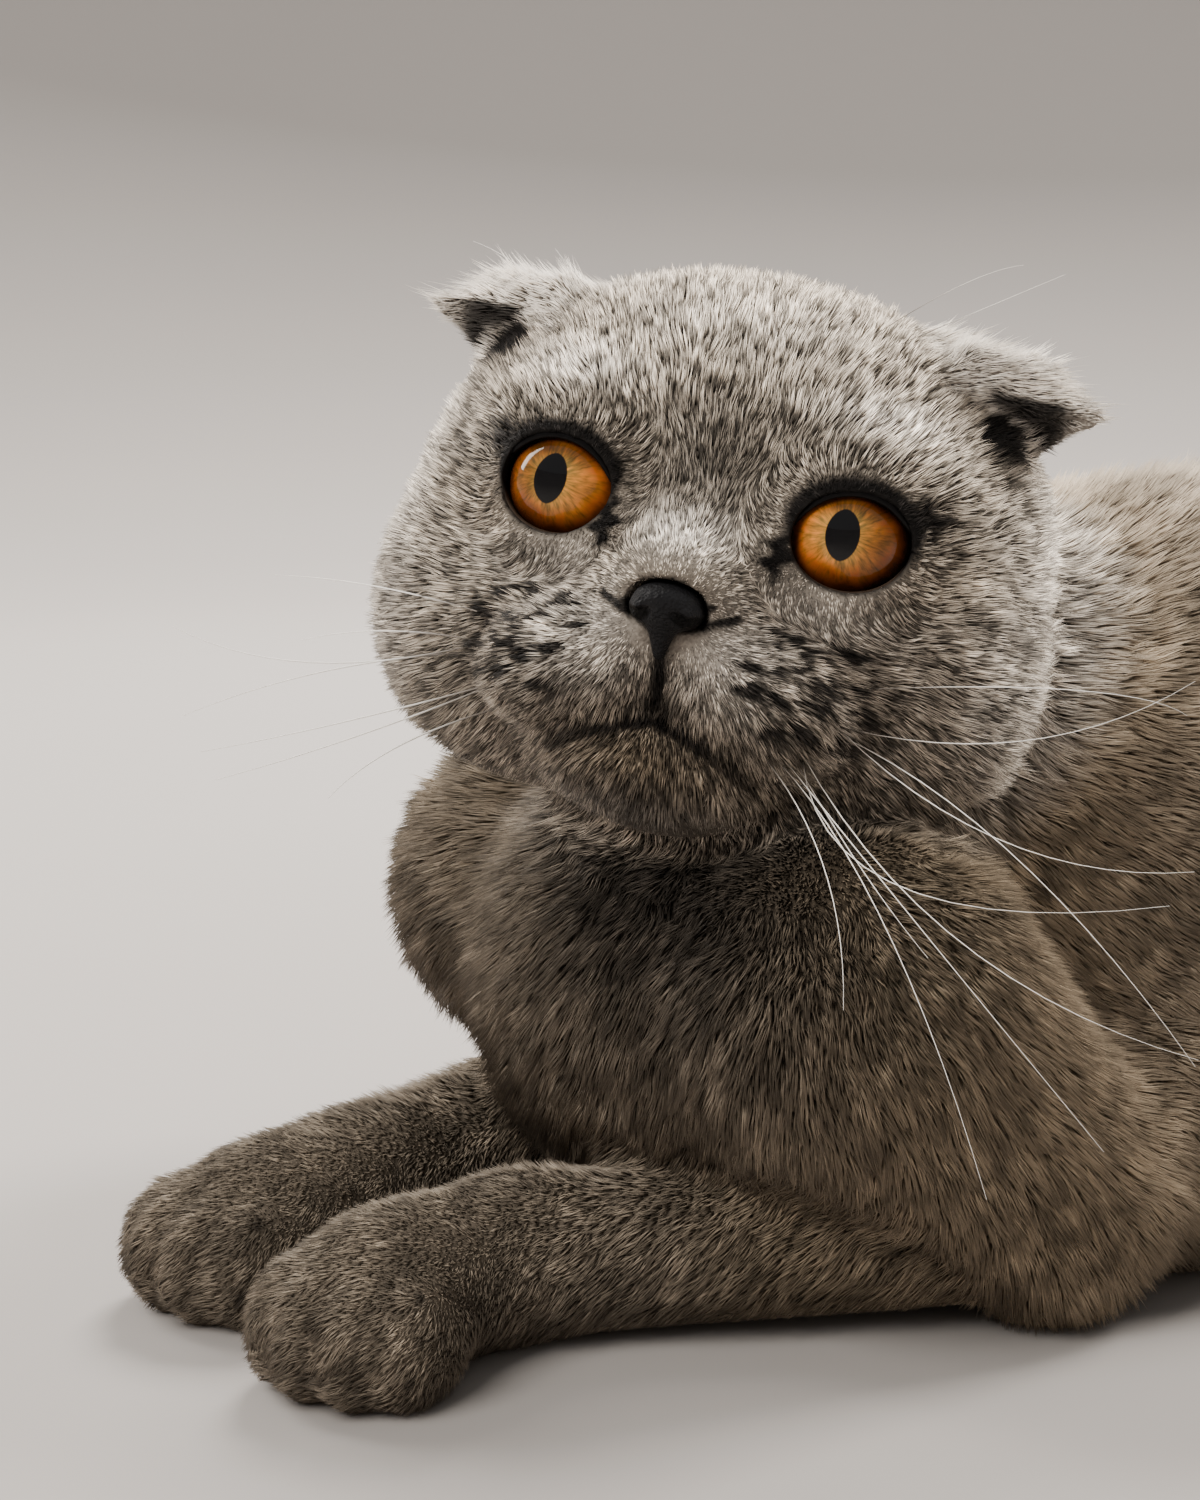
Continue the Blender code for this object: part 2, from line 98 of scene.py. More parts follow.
# The skin. Under the coat one unbroken hide covers head, ears, neck, trunk, legs and tail.
# It is drawn over the solids of flesh and then lies inside them by the depth of the coat,
# which is least on face, ears and paws.
SKIN_GRAIN, SKIN_TRIANGLES = 0.00090, 185000
FLESH_OVERLAP, SEAM = 0.0004, 0.000001
FINE_ROUND_HEAD = 0.072
flesh = [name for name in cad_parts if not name.startswith(("eye_", "nose"))]


def linked(name, data):
    """A new piece of this data, put in the scene."""
    made = bpy.data.objects.new(name, data)
    bpy.context.scene.collection.objects.link(made)
    return made


def choose(*pieces):
    """Select these pieces alone, with the last of them active."""
    bpy.ops.object.select_all(action="DESELECT")
    for piece in pieces:
        piece.select_set(True)
    bpy.context.view_layer.objects.active = pieces[-1]


def edit_whole(step, **settings):
    """Take one step of editing on the whole mesh of the active piece."""
    bpy.ops.object.mode_set(mode="EDIT")
    bpy.ops.mesh.select_all(action="SELECT")
    step(**settings)
    bpy.ops.object.mode_set(mode="OBJECT")


def drawn_over(names, title):
    """One mesh drawn over the named solids, with their seams closed."""
    choose(*[linked(title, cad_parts[name].data.copy()) for name in names])
    if len(names) > 1:
        bpy.ops.object.join()
    edit_whole(bpy.ops.mesh.remove_doubles, threshold=SEAM)
    return bpy.context.object


def shape_by(piece, kind, **settings):
    """Add a modifier to a piece and apply it at once."""
    choose(piece)
    step = piece.modifiers.new(kind.lower(), kind)
    for setting, value in settings.items():
        setattr(step, setting, value)
    bpy.ops.object.modifier_apply(modifier=step.name)


def numbers(source, field, width, kind=float):
    """One value, or several, of each member of a mesh's collection, as an array."""
    found = np.zeros(len(source) * width, kind)
    source.foreach_get(field, found)
    return found.reshape(-1, width) if width > 1 else found


skin = drawn_over(flesh, "skin")
skin.name = skin.data.name = "skin"
shape_by(skin, "DISPLACE", strength=FLESH_OVERLAP, mid_level=0.0)
shape_by(skin, "REMESH", mode="VOXEL", voxel_size=SKIN_GRAIN)
shape_by(skin, "SMOOTH", factor=0.5, iterations=3)
from_head = np.linalg.norm(numbers(skin.data.vertices, "co", 3) - head_middle, axis=1)
coarse = skin.vertex_groups.new(name="coarse")
coarse.add([int(v) for v in np.flatnonzero(from_head > FINE_ROUND_HEAD)], 1.0, "REPLACE")
skin.data.calc_loop_triangles()
shape_by(
    skin, "DECIMATE", ratio=SKIN_TRIANGLES / len(skin.data.loop_triangles),
    vertex_group="coarse", use_collapse_triangulate=True,
)
skin.vertex_groups.clear()

edge_ends = numbers(skin.data.edges, "vertices", 2, int)
edge_ends = np.concatenate([edge_ends, edge_ends[:, ::-1]])
neighbours = np.bincount(edge_ends[:, 0], minlength=len(skin.data.vertices))


def evened(field, rounds):
    """A field over the skin, each value drawn toward those round it."""
    wide = field.reshape(len(field), -1).astype(float)
    for _ in range(rounds):
        around = [
            np.bincount(edge_ends[:, 0], column[edge_ends[:, 1]], len(wide)) / neighbours
            for column in wide.T
        ]
        wide = 0.5 * wide + 0.5 * np.stack(around, 1)
    return wide.reshape(field.shape)


def unit(vectors):
    """Each vector at length 1."""
    return vectors / np.maximum(np.linalg.norm(vectors, axis=-1, keepdims=True), 1e-9)


# How the coat grows, part by part: how far its tips stand off the skin in mm, how thick a
# tuft is in mm, how many tufts grow on a square mm, how steeply they rise in degrees, and
# which way they lie.
COAT = {
    "head": (2.0, 0.30, 3.9, 35, (0, 0, 0)),
    "ear": (1.8, 0.32, 4.6, 36, (0, 0, 0)),
    "neck": (3.8, 0.42, 3.1, 40, (0, 1.0, -0.55)),
    "torso": (4.0, 0.43, 3.0, 42, (0, 1.0, -0.55)),
    "upper": (3.6, 0.43, 2.9, 42, (0, 0.5, -1.0)),
    "forearm": (2.3, 0.36, 3.2, 36, (0, -1.0, -0.5)),
    "paw": (1.3, 0.30, 4.2, 32, (0.1, -1.0, -0.35)),
    "thigh": (4.0, 0.50, 1.7, 33, (0, 0.55, -0.9)),
    "foot": (1.8, 0.42, 1.8, 34, (0, -1.0, -0.3)),
    "tail": (4.0, 0.48, 1.8, 31, (0, 0, 0)),
}
TAIL_LINE = (
    (-0.009, 0.161), (0.025, 0.185), (0.071, 0.171), (0.099, 0.125), (0.105, 0.071), (0.101, 0.021),
)
NOSE, NAPE = np.array((0.0, -50.5, -15.0)), (-0.016, -0.088, 0.112)
EAR_LIE = np.array((25.0, -10.0, 4.0))
EYE_OPENING, EYE_OUTWARD, EYE_TILT = np.array((9.6, 8.0)), 8.0, 6.0
FINEST_HAIR, CLOSEST_HAIR = 0.12, 0.55
EVEN_LIE, EVEN_DEPTH = 24, 26
SKIN_LOWEST, TUFTS_LOWEST = 0.0002, 0.0003
kinds = list(COAT)


def kind_of(name):
    """Which kind of coat a solid wears, as its number in the list."""
    return next(k for k, kind in enumerate(kinds) if kind in name.split("_"))


nearest = KDTree(sum(len(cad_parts[name].data.vertices) for name in flesh))
owners = []
for name in flesh:
    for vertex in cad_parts[name].data.vertices:
        nearest.insert(vertex.co, len(owners))
        owners.append(kind_of(name))
nearest.balance()
places = numbers(skin.data.vertices, "co", 3)
kind = np.array([owners[nearest.find(place)[1]] for place in places])
facing = unit(evened(numbers(skin.data.vertex_normals, "vector", 3), 3))
in_face = in_head(places)
side_of = np.where(in_face[:, 0] > 0, 1, -1)
settings = np.array([COAT[name][:4] for name in kinds])[kind]
lie = np.array([COAT[name][4] for name in kinds], float)[kind]


def eye_axes(side):
    """The axes of an eye's opening, which is turned outward and tilted up at its outer end."""
    across = SIDES[side]
    return head_axes @ axes(("Z", across * EYE_OUTWARD), ("Y", -across * EYE_TILT))


def from_eye(points, side):
    """Places measured from an eyeball's middle in the axes of its opening, in mm."""
    return (points - np.array(eye_middle[side])) @ np.array(eye_axes(side)) * 1000


def beyond_lids(points):
    """How many times further out than the lids' edge places lie, and 9 away from the eyes."""
    found = np.full(len(points), 9.0)
    for side in SIDES:
        local = from_eye(points, side)
        ring = np.linalg.norm(local[:, [0, 2]] / EYE_OPENING, axis=1)
        near = (local[:, 1] < 2) & (np.linalg.norm(local, axis=1) < 30)
        found = np.where(near, np.minimum(found, ring), found)
    return found


# Hair on the head streams back from the nose and down behind, and on the ears from base to tip.
on_head, on_ear, on_tail = (kind == kinds.index(name) for name in ("head", "ear", "tail"))
down_behind = ease(in_face[:, 1], 0, 26)[:, None] * (0, 0.5, -1.6)
lie[on_head] = unit(unit(in_face - NOSE) + down_behind)[on_head] @ np.array(head_axes).T
ear_lie = EAR_LIE * np.stack([side_of, np.ones(len(kind)), np.ones(len(kind))], 1)
lie[on_ear] = unit(ear_lie)[on_ear] @ np.array(head_axes).T
tail_line = np.array(TAIL_LINE)
tail_steps = np.diff(tail_line, axis=0)
closest = np.argmin(
    np.linalg.norm(places[on_tail, None, :2] - (tail_line[:-1] + tail_steps / 2)[None], axis=2), axis=1
)
lie[on_tail] = np.column_stack([unit(tail_steps)[closest], np.full(len(closest), -0.15)])

# Round the neck and over the shoulders it radiates from the nape, like a ruff.
from_nape = places - NAPE
round_neck = ease(np.linalg.norm(from_nape, axis=1), 0.125, 0.060) * np.isin(
    kind, [kinds.index(name) for name in ("neck", "torso", "upper")]
)
lie = unit(lie) * (1 - round_neck[:, None]) + unit(from_nape) * round_neck[:, None]
lie = unit(evened(unit(lie), EVEN_LIE))
rise, thickness, closeness, steepness = evened(settings, EVEN_DEPTH).T

# The coat is finest and closest round the nose, where it is shortest and gains in length by so
# much for each mm. It is flat where the cat lies on the floor and sleeker toward the rear.
NOSE_RISE, RISE_PER_MM, FACE_REACH = 0.75, 0.028, 62
of_ear = evened(on_ear.astype(float), 3)
face_facing = facing @ np.array(head_axes)
# The underside of the folded ear, which is given painted shade in the markings.
under_ear = of_ear * ease(face_facing[:, 2], 0.0, -0.40) * ease(face_facing[:, 1], 0.75, 0.40)
nose_gap = np.linalg.norm((in_face - NOSE) * (1, 0.6, 1.2), axis=1)
lids = beyond_lids(places)
fine = ease(nose_gap, FACE_REACH, 14)
face_rise = NOSE_RISE + RISE_PER_MM * nose_gap
thickness *= 1 - FINEST_HAIR * fine
rise = np.where(on_head | (nose_gap < 60), np.minimum(rise, face_rise), rise)
rise *= 0.30 + 0.70 * ease(lids, 1.0, 1.9)  # at the lids
rise *= 0.35 + 0.65 * ease(nose_gap, 7.5, 16)  # beside the nose leather
rise *= 0.10 + 0.90 * ease(facing[:, 2], -0.98, -0.72)  # underneath
steepness -= 9 * ease(places[:, 1], -0.05, 0.03)  # toward the rear
closeness *= 1 + CLOSEST_HAIR * fine
closeness *= 0.25 + 0.75 * ease(facing[:, 2], -0.95, -0.5)  # underneath
closeness *= 0.42 + 0.58 * ease(places[:, 1], 0.01, -0.07)  # toward the rear
closeness *= 1 - 0.30 * on_head * ease(in_face[:, 1], 2, 30)  # back of the head

# Round each eye it lies outward, away from the opening.
for side in SIDES:
    away = (places - np.array(eye_middle[side])) @ np.array(head_axes)
    away[:, 1] = 0
    away = unit(away) @ np.array(head_axes).T
    turn = ease(lids, 2.4, 1.25) * (np.sign(in_face[:, 0]) == SIDES[side])
    lie = unit(lie * (1 - turn[:, None]) + away * turn[:, None])

places = places - facing * rise[:, None] / 1000
places[:, 2] = np.maximum(places[:, 2], SKIN_LOWEST)
skin.data.vertices.foreach_set("co", places.ravel())
skin.data.update()
shape_by(skin, "SMOOTH", factor=0.4, iterations=2)
skin.data.shade_smooth()
edit_whole(bpy.ops.uv.smart_project, angle_limit=math.radians(72), island_margin=0.001)
skin.data.uv_layers.active.name = "OFBake"


# The markings. A blue coat has pale tips over a dark ground, darker round the eyes, in the
# rows where whiskers root and on the chin, and a warmer brown on legs and chest. Painted shade
# darkens the hollow under each folded ear, the line of the lips, the nostril slits, the throat,
# the gaps between the toes, the chest over its darker coat, and the forehead a little. Painted
# rim light makes the sides of the face paler, and the folds of the ears over their paler fur,
# and a painted highlight lies on the bridge of the nose.
# Marks on the face are a strength, a middle and a spread in mm, and fall on both sides alike.
DARK_MARKS = (
    (0.50, (44.0, -24.0, 1.0), (8.0, 8.0, 2.6)),  # streak behind the eye
    (0.45, (45.0, -25.0, -9.5), (6.5, 8.0, 1.8)),  # streak across the cheek
    (0.45, (50.0, -22.0, -22.0), (5.0, 8.0, 5.0)),  # jowl
    (0.96, (0.0, -44.0, -31.3), (4.8, 9.0, 2.9)),  # lower lip
    (0.42, (0.0, -42.0, -38.0), (12.0, 16.0, 3.0)),  # chin
    (0.50, (0.0, -38.0, 9.0), (8.5, 12.0, 12.0)),  # between the brows
    # the forehead painted a little darker, painted shade tempering the strong light from above
    (0.15, (0.0, -24.0, 24.0), (30.0, 22.0, 13.0)),  # forehead
)
PALE_MARKS = (
    # painted highlight on the bridge of the nose
    (0.90, (0.0, -47.0, -4.5), (8.5, 9.0, 4.0)),  # bridge of the nose
    (0.75, (11.0, -48.0, -22.5), (9.5, 12.0, 8.0)),  # lip pad
    (0.60, (22.0, -40.0, -12.0), (10.0, 10.0, 5.0)),  # under the eye
    (0.55, (25.0, -30.0, 18.5), (9.0, 12.0, 4.0)),  # over the eye
    (0.35, (0.0, -36.0, -48.0), (15.0, 12.0, 4.0)),  # under the chin
    (0.22, (6.0, -22.0, 31.0), (12.0, 12.0, 6.0)),  # crown
    # paler fur on the fold of the ear, with painted rim light
    (0.80, (42.0, -3.0, 34.0), (12.0, 12.0, 5.0)),  # fold of the ear
)
WARM_MARKS = (
    (0.75, (0.0, -42.0, -40.0), (15.0, 16.0, 9.0)),  # chin
    (0.25, (40.0, -24.0, -4.0), (10.0, 12.0, 6.0)),  # cheek
)

# Marks with a sharper edge: one dark spot on the left cheek, the outer corner of the eye, the
# tear line at the inner corner, the line of the lips, dark in itself and with painted shadow of
# the mouth, the slit behind each nostril, painted shade, and how far the bare nose leather
# reaches from its middle.
CHEEK_SPOT = (53.4, -17.8, -11.9), (3.0, 6.0, 2.4)
OUTER_CORNER = (34.0, -31.0, 5.4), (5.4, 9.0, 3.2)
TEAR = (14.5, 0, -4.3), (2.7, 1e3, 4.3)
MOUTH = ((0, -33.6), (5, -34.6), (10, -36.8), (15.5, -40.2))
NOSTRIL_SLIT = ((6.0, -17.5), (10.6, -15.4))
NOSE_REACH = (6.8, 9.0, 5.6)
nose_middle = sum((np.array(corner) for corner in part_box("nose"))) / 2

# Whiskers root in rows, each given as its height, its start and its number of dark spots. The
# edges of such marks are ragged, by so many mm and so finely.
WHISKER_ROWS = ((-17.5, 17.0, 3), (-21.5, 14.5, 4), (-26.0, 16.0, 4), (-30.5, 18.5, 4))
SPOT_STEP, SPOT_SIZE, RAGGED = 5.0, (2.8, 1.55), (0.9, 1.9)

# The painted shade in the hollow under the folded ear runs along a line and narrows from base to tip.
EAR_CUP, CUP_RADII = ((45.3, -11.0, 20.0), (54.5, -8.0, 24.0)), (6.9, 2.7)

# The throat lies in shade. Each foot has a place and a turn, gaps between its toes and a
# crease along its outer side, where shade is painted.
THROAT, THROAT_SPREAD = np.array((0.018, -0.135, 0.078)), np.array((0.060, 0.048, 0.040))
PAWS = (
    ((0.0065, -0.1746), 32), ((-0.0365, -0.1776), 16), ((0.065, 0.0169), -6), ((-0.095, 0.0169), 6),
)
TOE_GAPS = (-8.4, 0.0, 8.4)
SIDE_CREASE = ((15.5, -20.0, 2.0), (13.5, -11.0, 23.0))


def blob(local, middle, size, both=True):
    """1 at a place on the face and fading away from it, on both sides where asked."""
    apart = np.stack([np.abs(local[:, 0]) if both else local[:, 0], local[:, 1], local[:, 2]], 1)
    return np.exp(-(((apart - middle) / size) ** 2).sum(1))


def beside(places, start, end):
    """How far places lie from a line, and how far along it the nearest point is, 0 to 1."""
    step = np.subtract(end, start)
    share = np.clip((places - start) @ step / (step @ step), 0, 1)
    return np.linalg.norm(places - start - share[:, None] * step, axis=1), share


def lip_gap(local):
    """Distance in mm to the line between the lips, seen from in front."""
    place = np.stack([np.abs(local[:, 0]), local[:, 2]], 1)
    found = np.min([beside(place, a, b)[0] for a, b in zip(MOUTH, MOUTH[1:])], axis=0)
    return np.where(local[:, 1] < -25, found, 99.0)


def strongest(fields):
    """The greatest of several fields at each place."""
    return np.max(fields, axis=0)


def whisker_spots(ragged):
    """How far places lie on the dark spots that whiskers root in."""
    stray = np.random.default_rng(5)
    spots = []
    for height, start, count in WHISKER_ROWS:
        for k in range(count):
            for side in SIDES.values():
                aside, lower, large = stray.uniform((-1.1, -0.8, 0.65), (1.1, 0.8, 1.15))
                middle = (side * (start + SPOT_STEP * k + aside), 0, height - 0.35 * k + lower)
                spot = blob(ragged, middle, (SPOT_SIZE[0] * large, 1e3, SPOT_SIZE[1] * large), False)
                spots.append(ease(spot, 0.16, 0.62))
    return strongest(spots)


def toe_shade(points):
    """How much painted shade places get in the gaps between toes and in the creases beside them."""
    found = []
    for place, turn in PAWS:
        toes = (points - (*place, 0)) @ np.array(axes(("Z", turn))) * 1000
        split = np.min([np.abs(toes[:, 0] - gap) for gap in TOE_GAPS], axis=0)
        here = ease(toes[:, 1], -9, -17) * (np.abs(toes[:, 0]) < 20) * (toes[:, 1] > -32)
        found.append(0.66 * ease(split, 1.5, 0.4) * here * (toes[:, 2] < 22))
        crease = beside(np.abs(toes) * (1, -1, 1), *SIDE_CREASE)[0]
        found.append(0.85 * ease(crease, 1.5, 0.4) * (toes[:, 1] < 0))
    return strongest(found)


def markings(points, ear, below):
    """How dark, how pale and how warm the coat is at places, painted shade and painted light included:
    three columns from 0 to 1.

    The shares say how far a place is on an ear and how far it is on the flap's underside.
    """
    local = in_head(points)
    across, ahead, up = local.T
    beside_middle = np.abs(across)
    near = np.linalg.norm(local, axis=1)
    body, rear = ease(near, 56, 72), ease(points[:, 1], -0.07, 0.02)
    front = ease(ahead, -25, -35)
    ragged = local + RAGGED[0] * np.sin(local[:, [2, 0, 1]] * RAGGED[1]) * (1, 0, 1)
    lid_edge = 1.03 + 0.24 * ease(up, -3, 6)
    nose_edge = np.linalg.norm((ragged - in_head(nose_middle[None])) / NOSE_REACH, axis=1)
    nostril = beside(np.stack([beside_middle, up], 1), *NOSTRIL_SLIT)[0]
    cleft = (up < -19) & (up > -31) & (ahead < -30)
    cup_gap, cup_share = beside(np.column_stack([beside_middle, ahead, up]), *EAR_CUP)
    cup_gap -= CUP_RADII[0] + cup_share * (CUP_RADII[1] - CUP_RADII[0])
    ear_hollow_shade = np.maximum(0.99 * ease(cup_gap, 1.5, 0.3) * ease(up, 16.0, 19.0), 0.96 * below)
    throat = np.exp(-(((points - THROAT) / THROAT_SPREAD) ** 2).sum(1))
    # A darker coat on the chest with painted shade under the head, easing off toward the cat's left.
    chest_dark_and_shade = ease(points[:, 1], -0.05, -0.11) * (1 - 0.78 * ease(points[:, 0], 0.018, 0.065))
    dark = strongest([
        0.99 * ease(beyond_lids(points), lid_edge + 0.13, lid_edge - 0.06),  # lids
        0.99 * front * ease(blob(ragged, *TEAR), 0.28, 0.72),
        0.97 * ease(blob(ragged, *OUTER_CORNER), 0.1, 0.8),
        0.97 * ease(nose_edge, 1.14, 1.02) * ease(up, -18.5, -16.5),  # over the nose leather
        # painted shade in the slit behind each nostril
        0.99 * front * ease(nostril, 1.1, 0.45),
        0.96 * front * whisker_spots(ragged),
        0.92 * blob(local, *CHEEK_SPOT, False),
        # the lips' own dark edge, with painted shadow of the mouth below it
        0.98 * ease(lip_gap(local), 2.0, 0.7) * (1 - 0.22 * ease(beside_middle, 6, 14)),
        0.98 * ease(beside_middle, 1.7, 0.5) * cleft,
        # painted shade in the hollow under the ear and on the flap's underside
        ear_hollow_shade * ease(beside_middle, 55.5, 49.5),
        body * (0.10 + 0.28 * rear),
        0.97 * throat * ease(near, 57, 64),
        # a darker coat on the chest, deepened by painted shade under the head
        0.54 * body * chest_dark_and_shade,
        # painted shade between the toes and in the creases beside them
        toe_shade(points),
        *(strength * blob(local, middle, size) for strength, middle, size in DARK_MARKS),
    ])
    pale = strongest([
        # paler fur on the fold of the ear, brightened further by painted rim light
        0.88 * ear * ease(ahead, 11, 4),
        # painted rim light on the sides of the face
        0.45 * ease(near, 75, 60) * ease(beside_middle, 40, 56),  # sides of the face
        *(strength * blob(local, middle, size) for strength, middle, size in PALE_MARKS),
    ])
    warm = strongest([
        body * (0.85 - 0.35 * ease(points[:, 1], -0.110, -0.138) - 0.60 * rear),
        *(strength * blob(local, middle, size) for strength, middle, size in WARM_MARKS),
    ])
    return np.clip(np.stack([dark, pale, warm], 1), 0, 1)


def give(mesh, **fields):
    """Store a number for each vertex of a mesh under each name."""
    for name, values in fields.items():
        made = mesh.attributes.new(name, "FLOAT", "POINT")
        made.data.foreach_set("value", np.ascontiguousarray(values, np.float32))


class Wire:
    """A socket of a shader that takes part in sums."""

    def __init__(self, paint, socket):
        self.paint, self.socket = paint, socket

    def sum(self, operation, first, second=0.0):
        return self.paint.node("ShaderNodeMath", {"operation": operation}, {0: first, 1: second})

    def __add__(self, other):
        return self.sum("ADD", self, other)

    def __sub__(self, other):
        return self.sum("SUBTRACT", self, other)

    def __rsub__(self, other):
        return self.sum("SUBTRACT", other, self)

    def __mul__(self, other):
        return self.sum("MULTIPLY", self, other)

    def __truediv__(self, other):
        return self.sum("DIVIDE", self, other)

    def __pow__(self, other):
        return self.sum("POWER", self, other)

    __radd__, __rmul__ = __add__, __mul__


class Paint:
    """A material, its surface shader and the nodes that vary it."""

    def __init__(self, name, **constants):
        self.material = bpy.data.materials.new(name)
        self.material.use_nodes = True
        self.tree = self.material.node_tree
        self.surface = self.tree.nodes["Principled BSDF"]
        for socket, value in constants.items():
            self.surface.inputs[socket.replace("_", " ")].default_value = value

    def node(self, kind, settings=None, sockets=None, output=0):
        """A new node, with its settings and what its inputs get, as one of its outputs."""
        made = self.tree.nodes.new(kind)
        for setting, value in (settings or {}).items():
            if setting == "stops":
                for spare in list(made.color_ramp.elements)[1:]:
                    made.color_ramp.elements.remove(spare)
                made.color_ramp.elements[0].position = value[0][0]
                made.color_ramp.elements[0].color = (*value[0][1], 1)
                for position, colour in value[1:]:
                    made.color_ramp.elements.new(position).color = (*colour, 1)
            else:
                setattr(made, setting, value)
        for socket, value in (sockets or {}).items():
            if isinstance(value, Wire):
                self.tree.links.new(value.socket, made.inputs[socket])
            else:
                made.inputs[socket].default_value = value
        return Wire(self, made.outputs[output])

    def feed(self, **wires):
        """Lead wires to the surface's inputs."""
        for socket, wire in wires.items():
            self.tree.links.new(wire.socket, self.surface.inputs[socket.replace("_", " ")])

    def number(self, name):
        """A number stored on the mesh."""
        return self.node("ShaderNodeAttribute", {"attribute_name": name}, output=2)

    def mix(self, share, first, second, blend="MIX"):
        """The first colour where the share is 0, and the second where it is 1."""
        first, second = (c if isinstance(c, Wire) else (*c, 1) for c in (first, second))
        return self.node(
            "ShaderNodeMix", {"data_type": "RGBA", "blend_type": blend},
            {0: share, 6: first, 7: second}, 2,
        )

    def noise(self, scale, detail=2.0, vector=None):
        """A smooth uneven number round a half, over the object's own places unless told."""
        place = vector or self.node("ShaderNodeTexCoord", output=3)
        sockets = {"Vector": place, "Scale": scale, "Detail": detail}
        return self.node("ShaderNodeTexNoise", sockets=sockets)

    def eased(self, value, low, high, start=0.0, end=1.0):
        """A number that goes smoothly from start, at low, to end, at high."""
        return self.node(
            "ShaderNodeMapRange", {"interpolation_type": "SMOOTHSTEP"},
            {"Value": value, "From Min": low, "From Max": high, "To Min": start, "To Max": end},
        )

    def times(self, colour, share):
        """A colour made lighter or darker by a number."""
        grey = self.node("ShaderNodeCombineColor", sockets={0: share, 1: share, 2: share})
        return self.mix(1.0, colour, grey, "MULTIPLY")

    def bump(self, height, strength, distance):
        """Fine relief, its distance in metres."""
        sockets = {"Strength": strength, "Distance": distance, "Height": height}
        return self.node("ShaderNodeBump", sockets=sockets)


# Each hair is darker at its root, the ground, than at its tip.
GROUND, TIP = (0.026, 0.021, 0.017), (0.47, 0.405, 0.33)
PALE_GROUND, PALE_TIP = (0.055, 0.046, 0.038), (0.95, 0.87, 0.77)
DARK_GROUND, DARK_TIP = (0.003, 0.003, 0.003), (0.014, 0.012, 0.0115)
WARM_GROUND, WARM_TIP = (0.024, 0.018, 0.012), (0.33, 0.252, 0.165)


def coat_colour(paint, along):
    """The coat's colour from root, 0, to tip, 1, with the markings and a little unevenness."""
    dark, pale, warm = (paint.number(name) for name in ("dark", "pale", "warm"))
    colour = paint.mix(along, GROUND, TIP)
    colour = paint.mix(warm, colour, paint.mix(along, WARM_GROUND, WARM_TIP))
    colour = paint.mix(pale, colour, paint.mix(along, PALE_GROUND, PALE_TIP))
    colour = paint.mix(dark, colour, paint.mix(along, DARK_GROUND, DARK_TIP))
    return paint.times(colour, paint.noise(90.0) * 0.7 + 0.65)


hide = Paint("skin_under_coat", Roughness=0.9, Specular_IOR_Level=0.12)
hair_grain = hide.noise(1400.0, 3.0)
hide.feed(
    Base_Color=coat_colour(hide, hair_grain * (hide.number("soft") * 0.6 + 0.45)),
    Normal=hide.bump(hair_grain, 0.6, 0.0006),
)
dark, pale, warm = markings(places, of_ear, under_ear).T
soft = ease(np.linalg.norm(in_head(places), axis=1), 56, 75)
soft *= 0.45 + 0.35 * ease(places[:, 1], -0.10, -0.03)
give(skin.data, dark=dark, pale=pale, warm=warm, soft=soft)
skin.data.materials.clear()
skin.data.materials.append(hide.material)
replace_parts(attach(skin, "root"), *flesh)


# The coat. Short, dense, plush hair stands a little off the skin in fine pointed tufts that
# follow the lie of the coat, shortest on face and paws and longest on neck, chest and tail.
# Lengths and widths vary by these shares, and tufts lean by so many degrees, least and most.
LONGER_ABOVE = 0.25
LENGTHS, WIDTHS = (0.72, 1.18), (0.75, 1.25)
LEAST_LEAN, MOST_LEAN, STRAY = 9, 65, 0.10
SUNK = 0.0004
EYE_CLEAR, LIDS_CLEAR, NOSE_CLEAR = 0.0112, (1.02, 1.12), 0.98
EAR_TIP, FRINGE_REACH = np.array((57.5, -4.0, 27.4)), 5.0
LONG_SHARE, LONGER_BY = 0.16, 0.9
rng = np.random.default_rng(7)
skin.data.calc_loop_triangles()
corners = numbers(skin.data.loop_triangles, "vertices", 3, int)
loops = numbers(skin.data.loop_triangles, "loops", 3, int)
skin_map = numbers(skin.data.uv_layers["OFBake"].data, "uv", 2)
places = numbers(skin.data.vertices, "co", 3)
facing = numbers(skin.data.vertex_normals, "vector", 3)

# No hair grows on the balls of the eyes, on the lids' edge or under the nose leather.
eye_gap = np.min([
    np.linalg.norm(places - np.array(middle), axis=1) for middle in eye_middle.values()
], axis=0)
closeness = closeness * (eye_gap > EYE_CLEAR) * ease(beyond_lids(places), *LIDS_CLEAR)
under_nose = np.linalg.norm((in_head(places) - in_head(nose_middle[None])) / NOSE_REACH, axis=1)
closeness = closeness * (under_nose > NOSE_CLEAR)

# Tufts root evenly over each triangle of skin, as many as its area and its closeness ask for.
edge_a = places[corners[:, 1]] - places[corners[:, 0]]
edge_b = places[corners[:, 2]] - places[corners[:, 0]]
area = np.linalg.norm(np.cross(edge_a, edge_b), axis=1) / 2 * 1e6
wanted = np.cumsum(area * closeness[corners].mean(1))
count = int(wanted[-1])
chosen = np.searchsorted(wanted, (np.arange(count) + rng.random(count)) * wanted[-1] / count)
weights = rng.random((count, 2))
weights = np.where(weights.sum(1, keepdims=True) > 1, 1 - weights, weights)
weights = np.column_stack([1 - weights.sum(1), weights])


def at_roots(field):
    """A field over the skin, read where the tufts root."""
    wide = field.reshape(len(field), -1)
    return np.einsum("tk,tkc->tc", weights, wide[corners[chosen]]).reshape(count, *field.shape[1:])


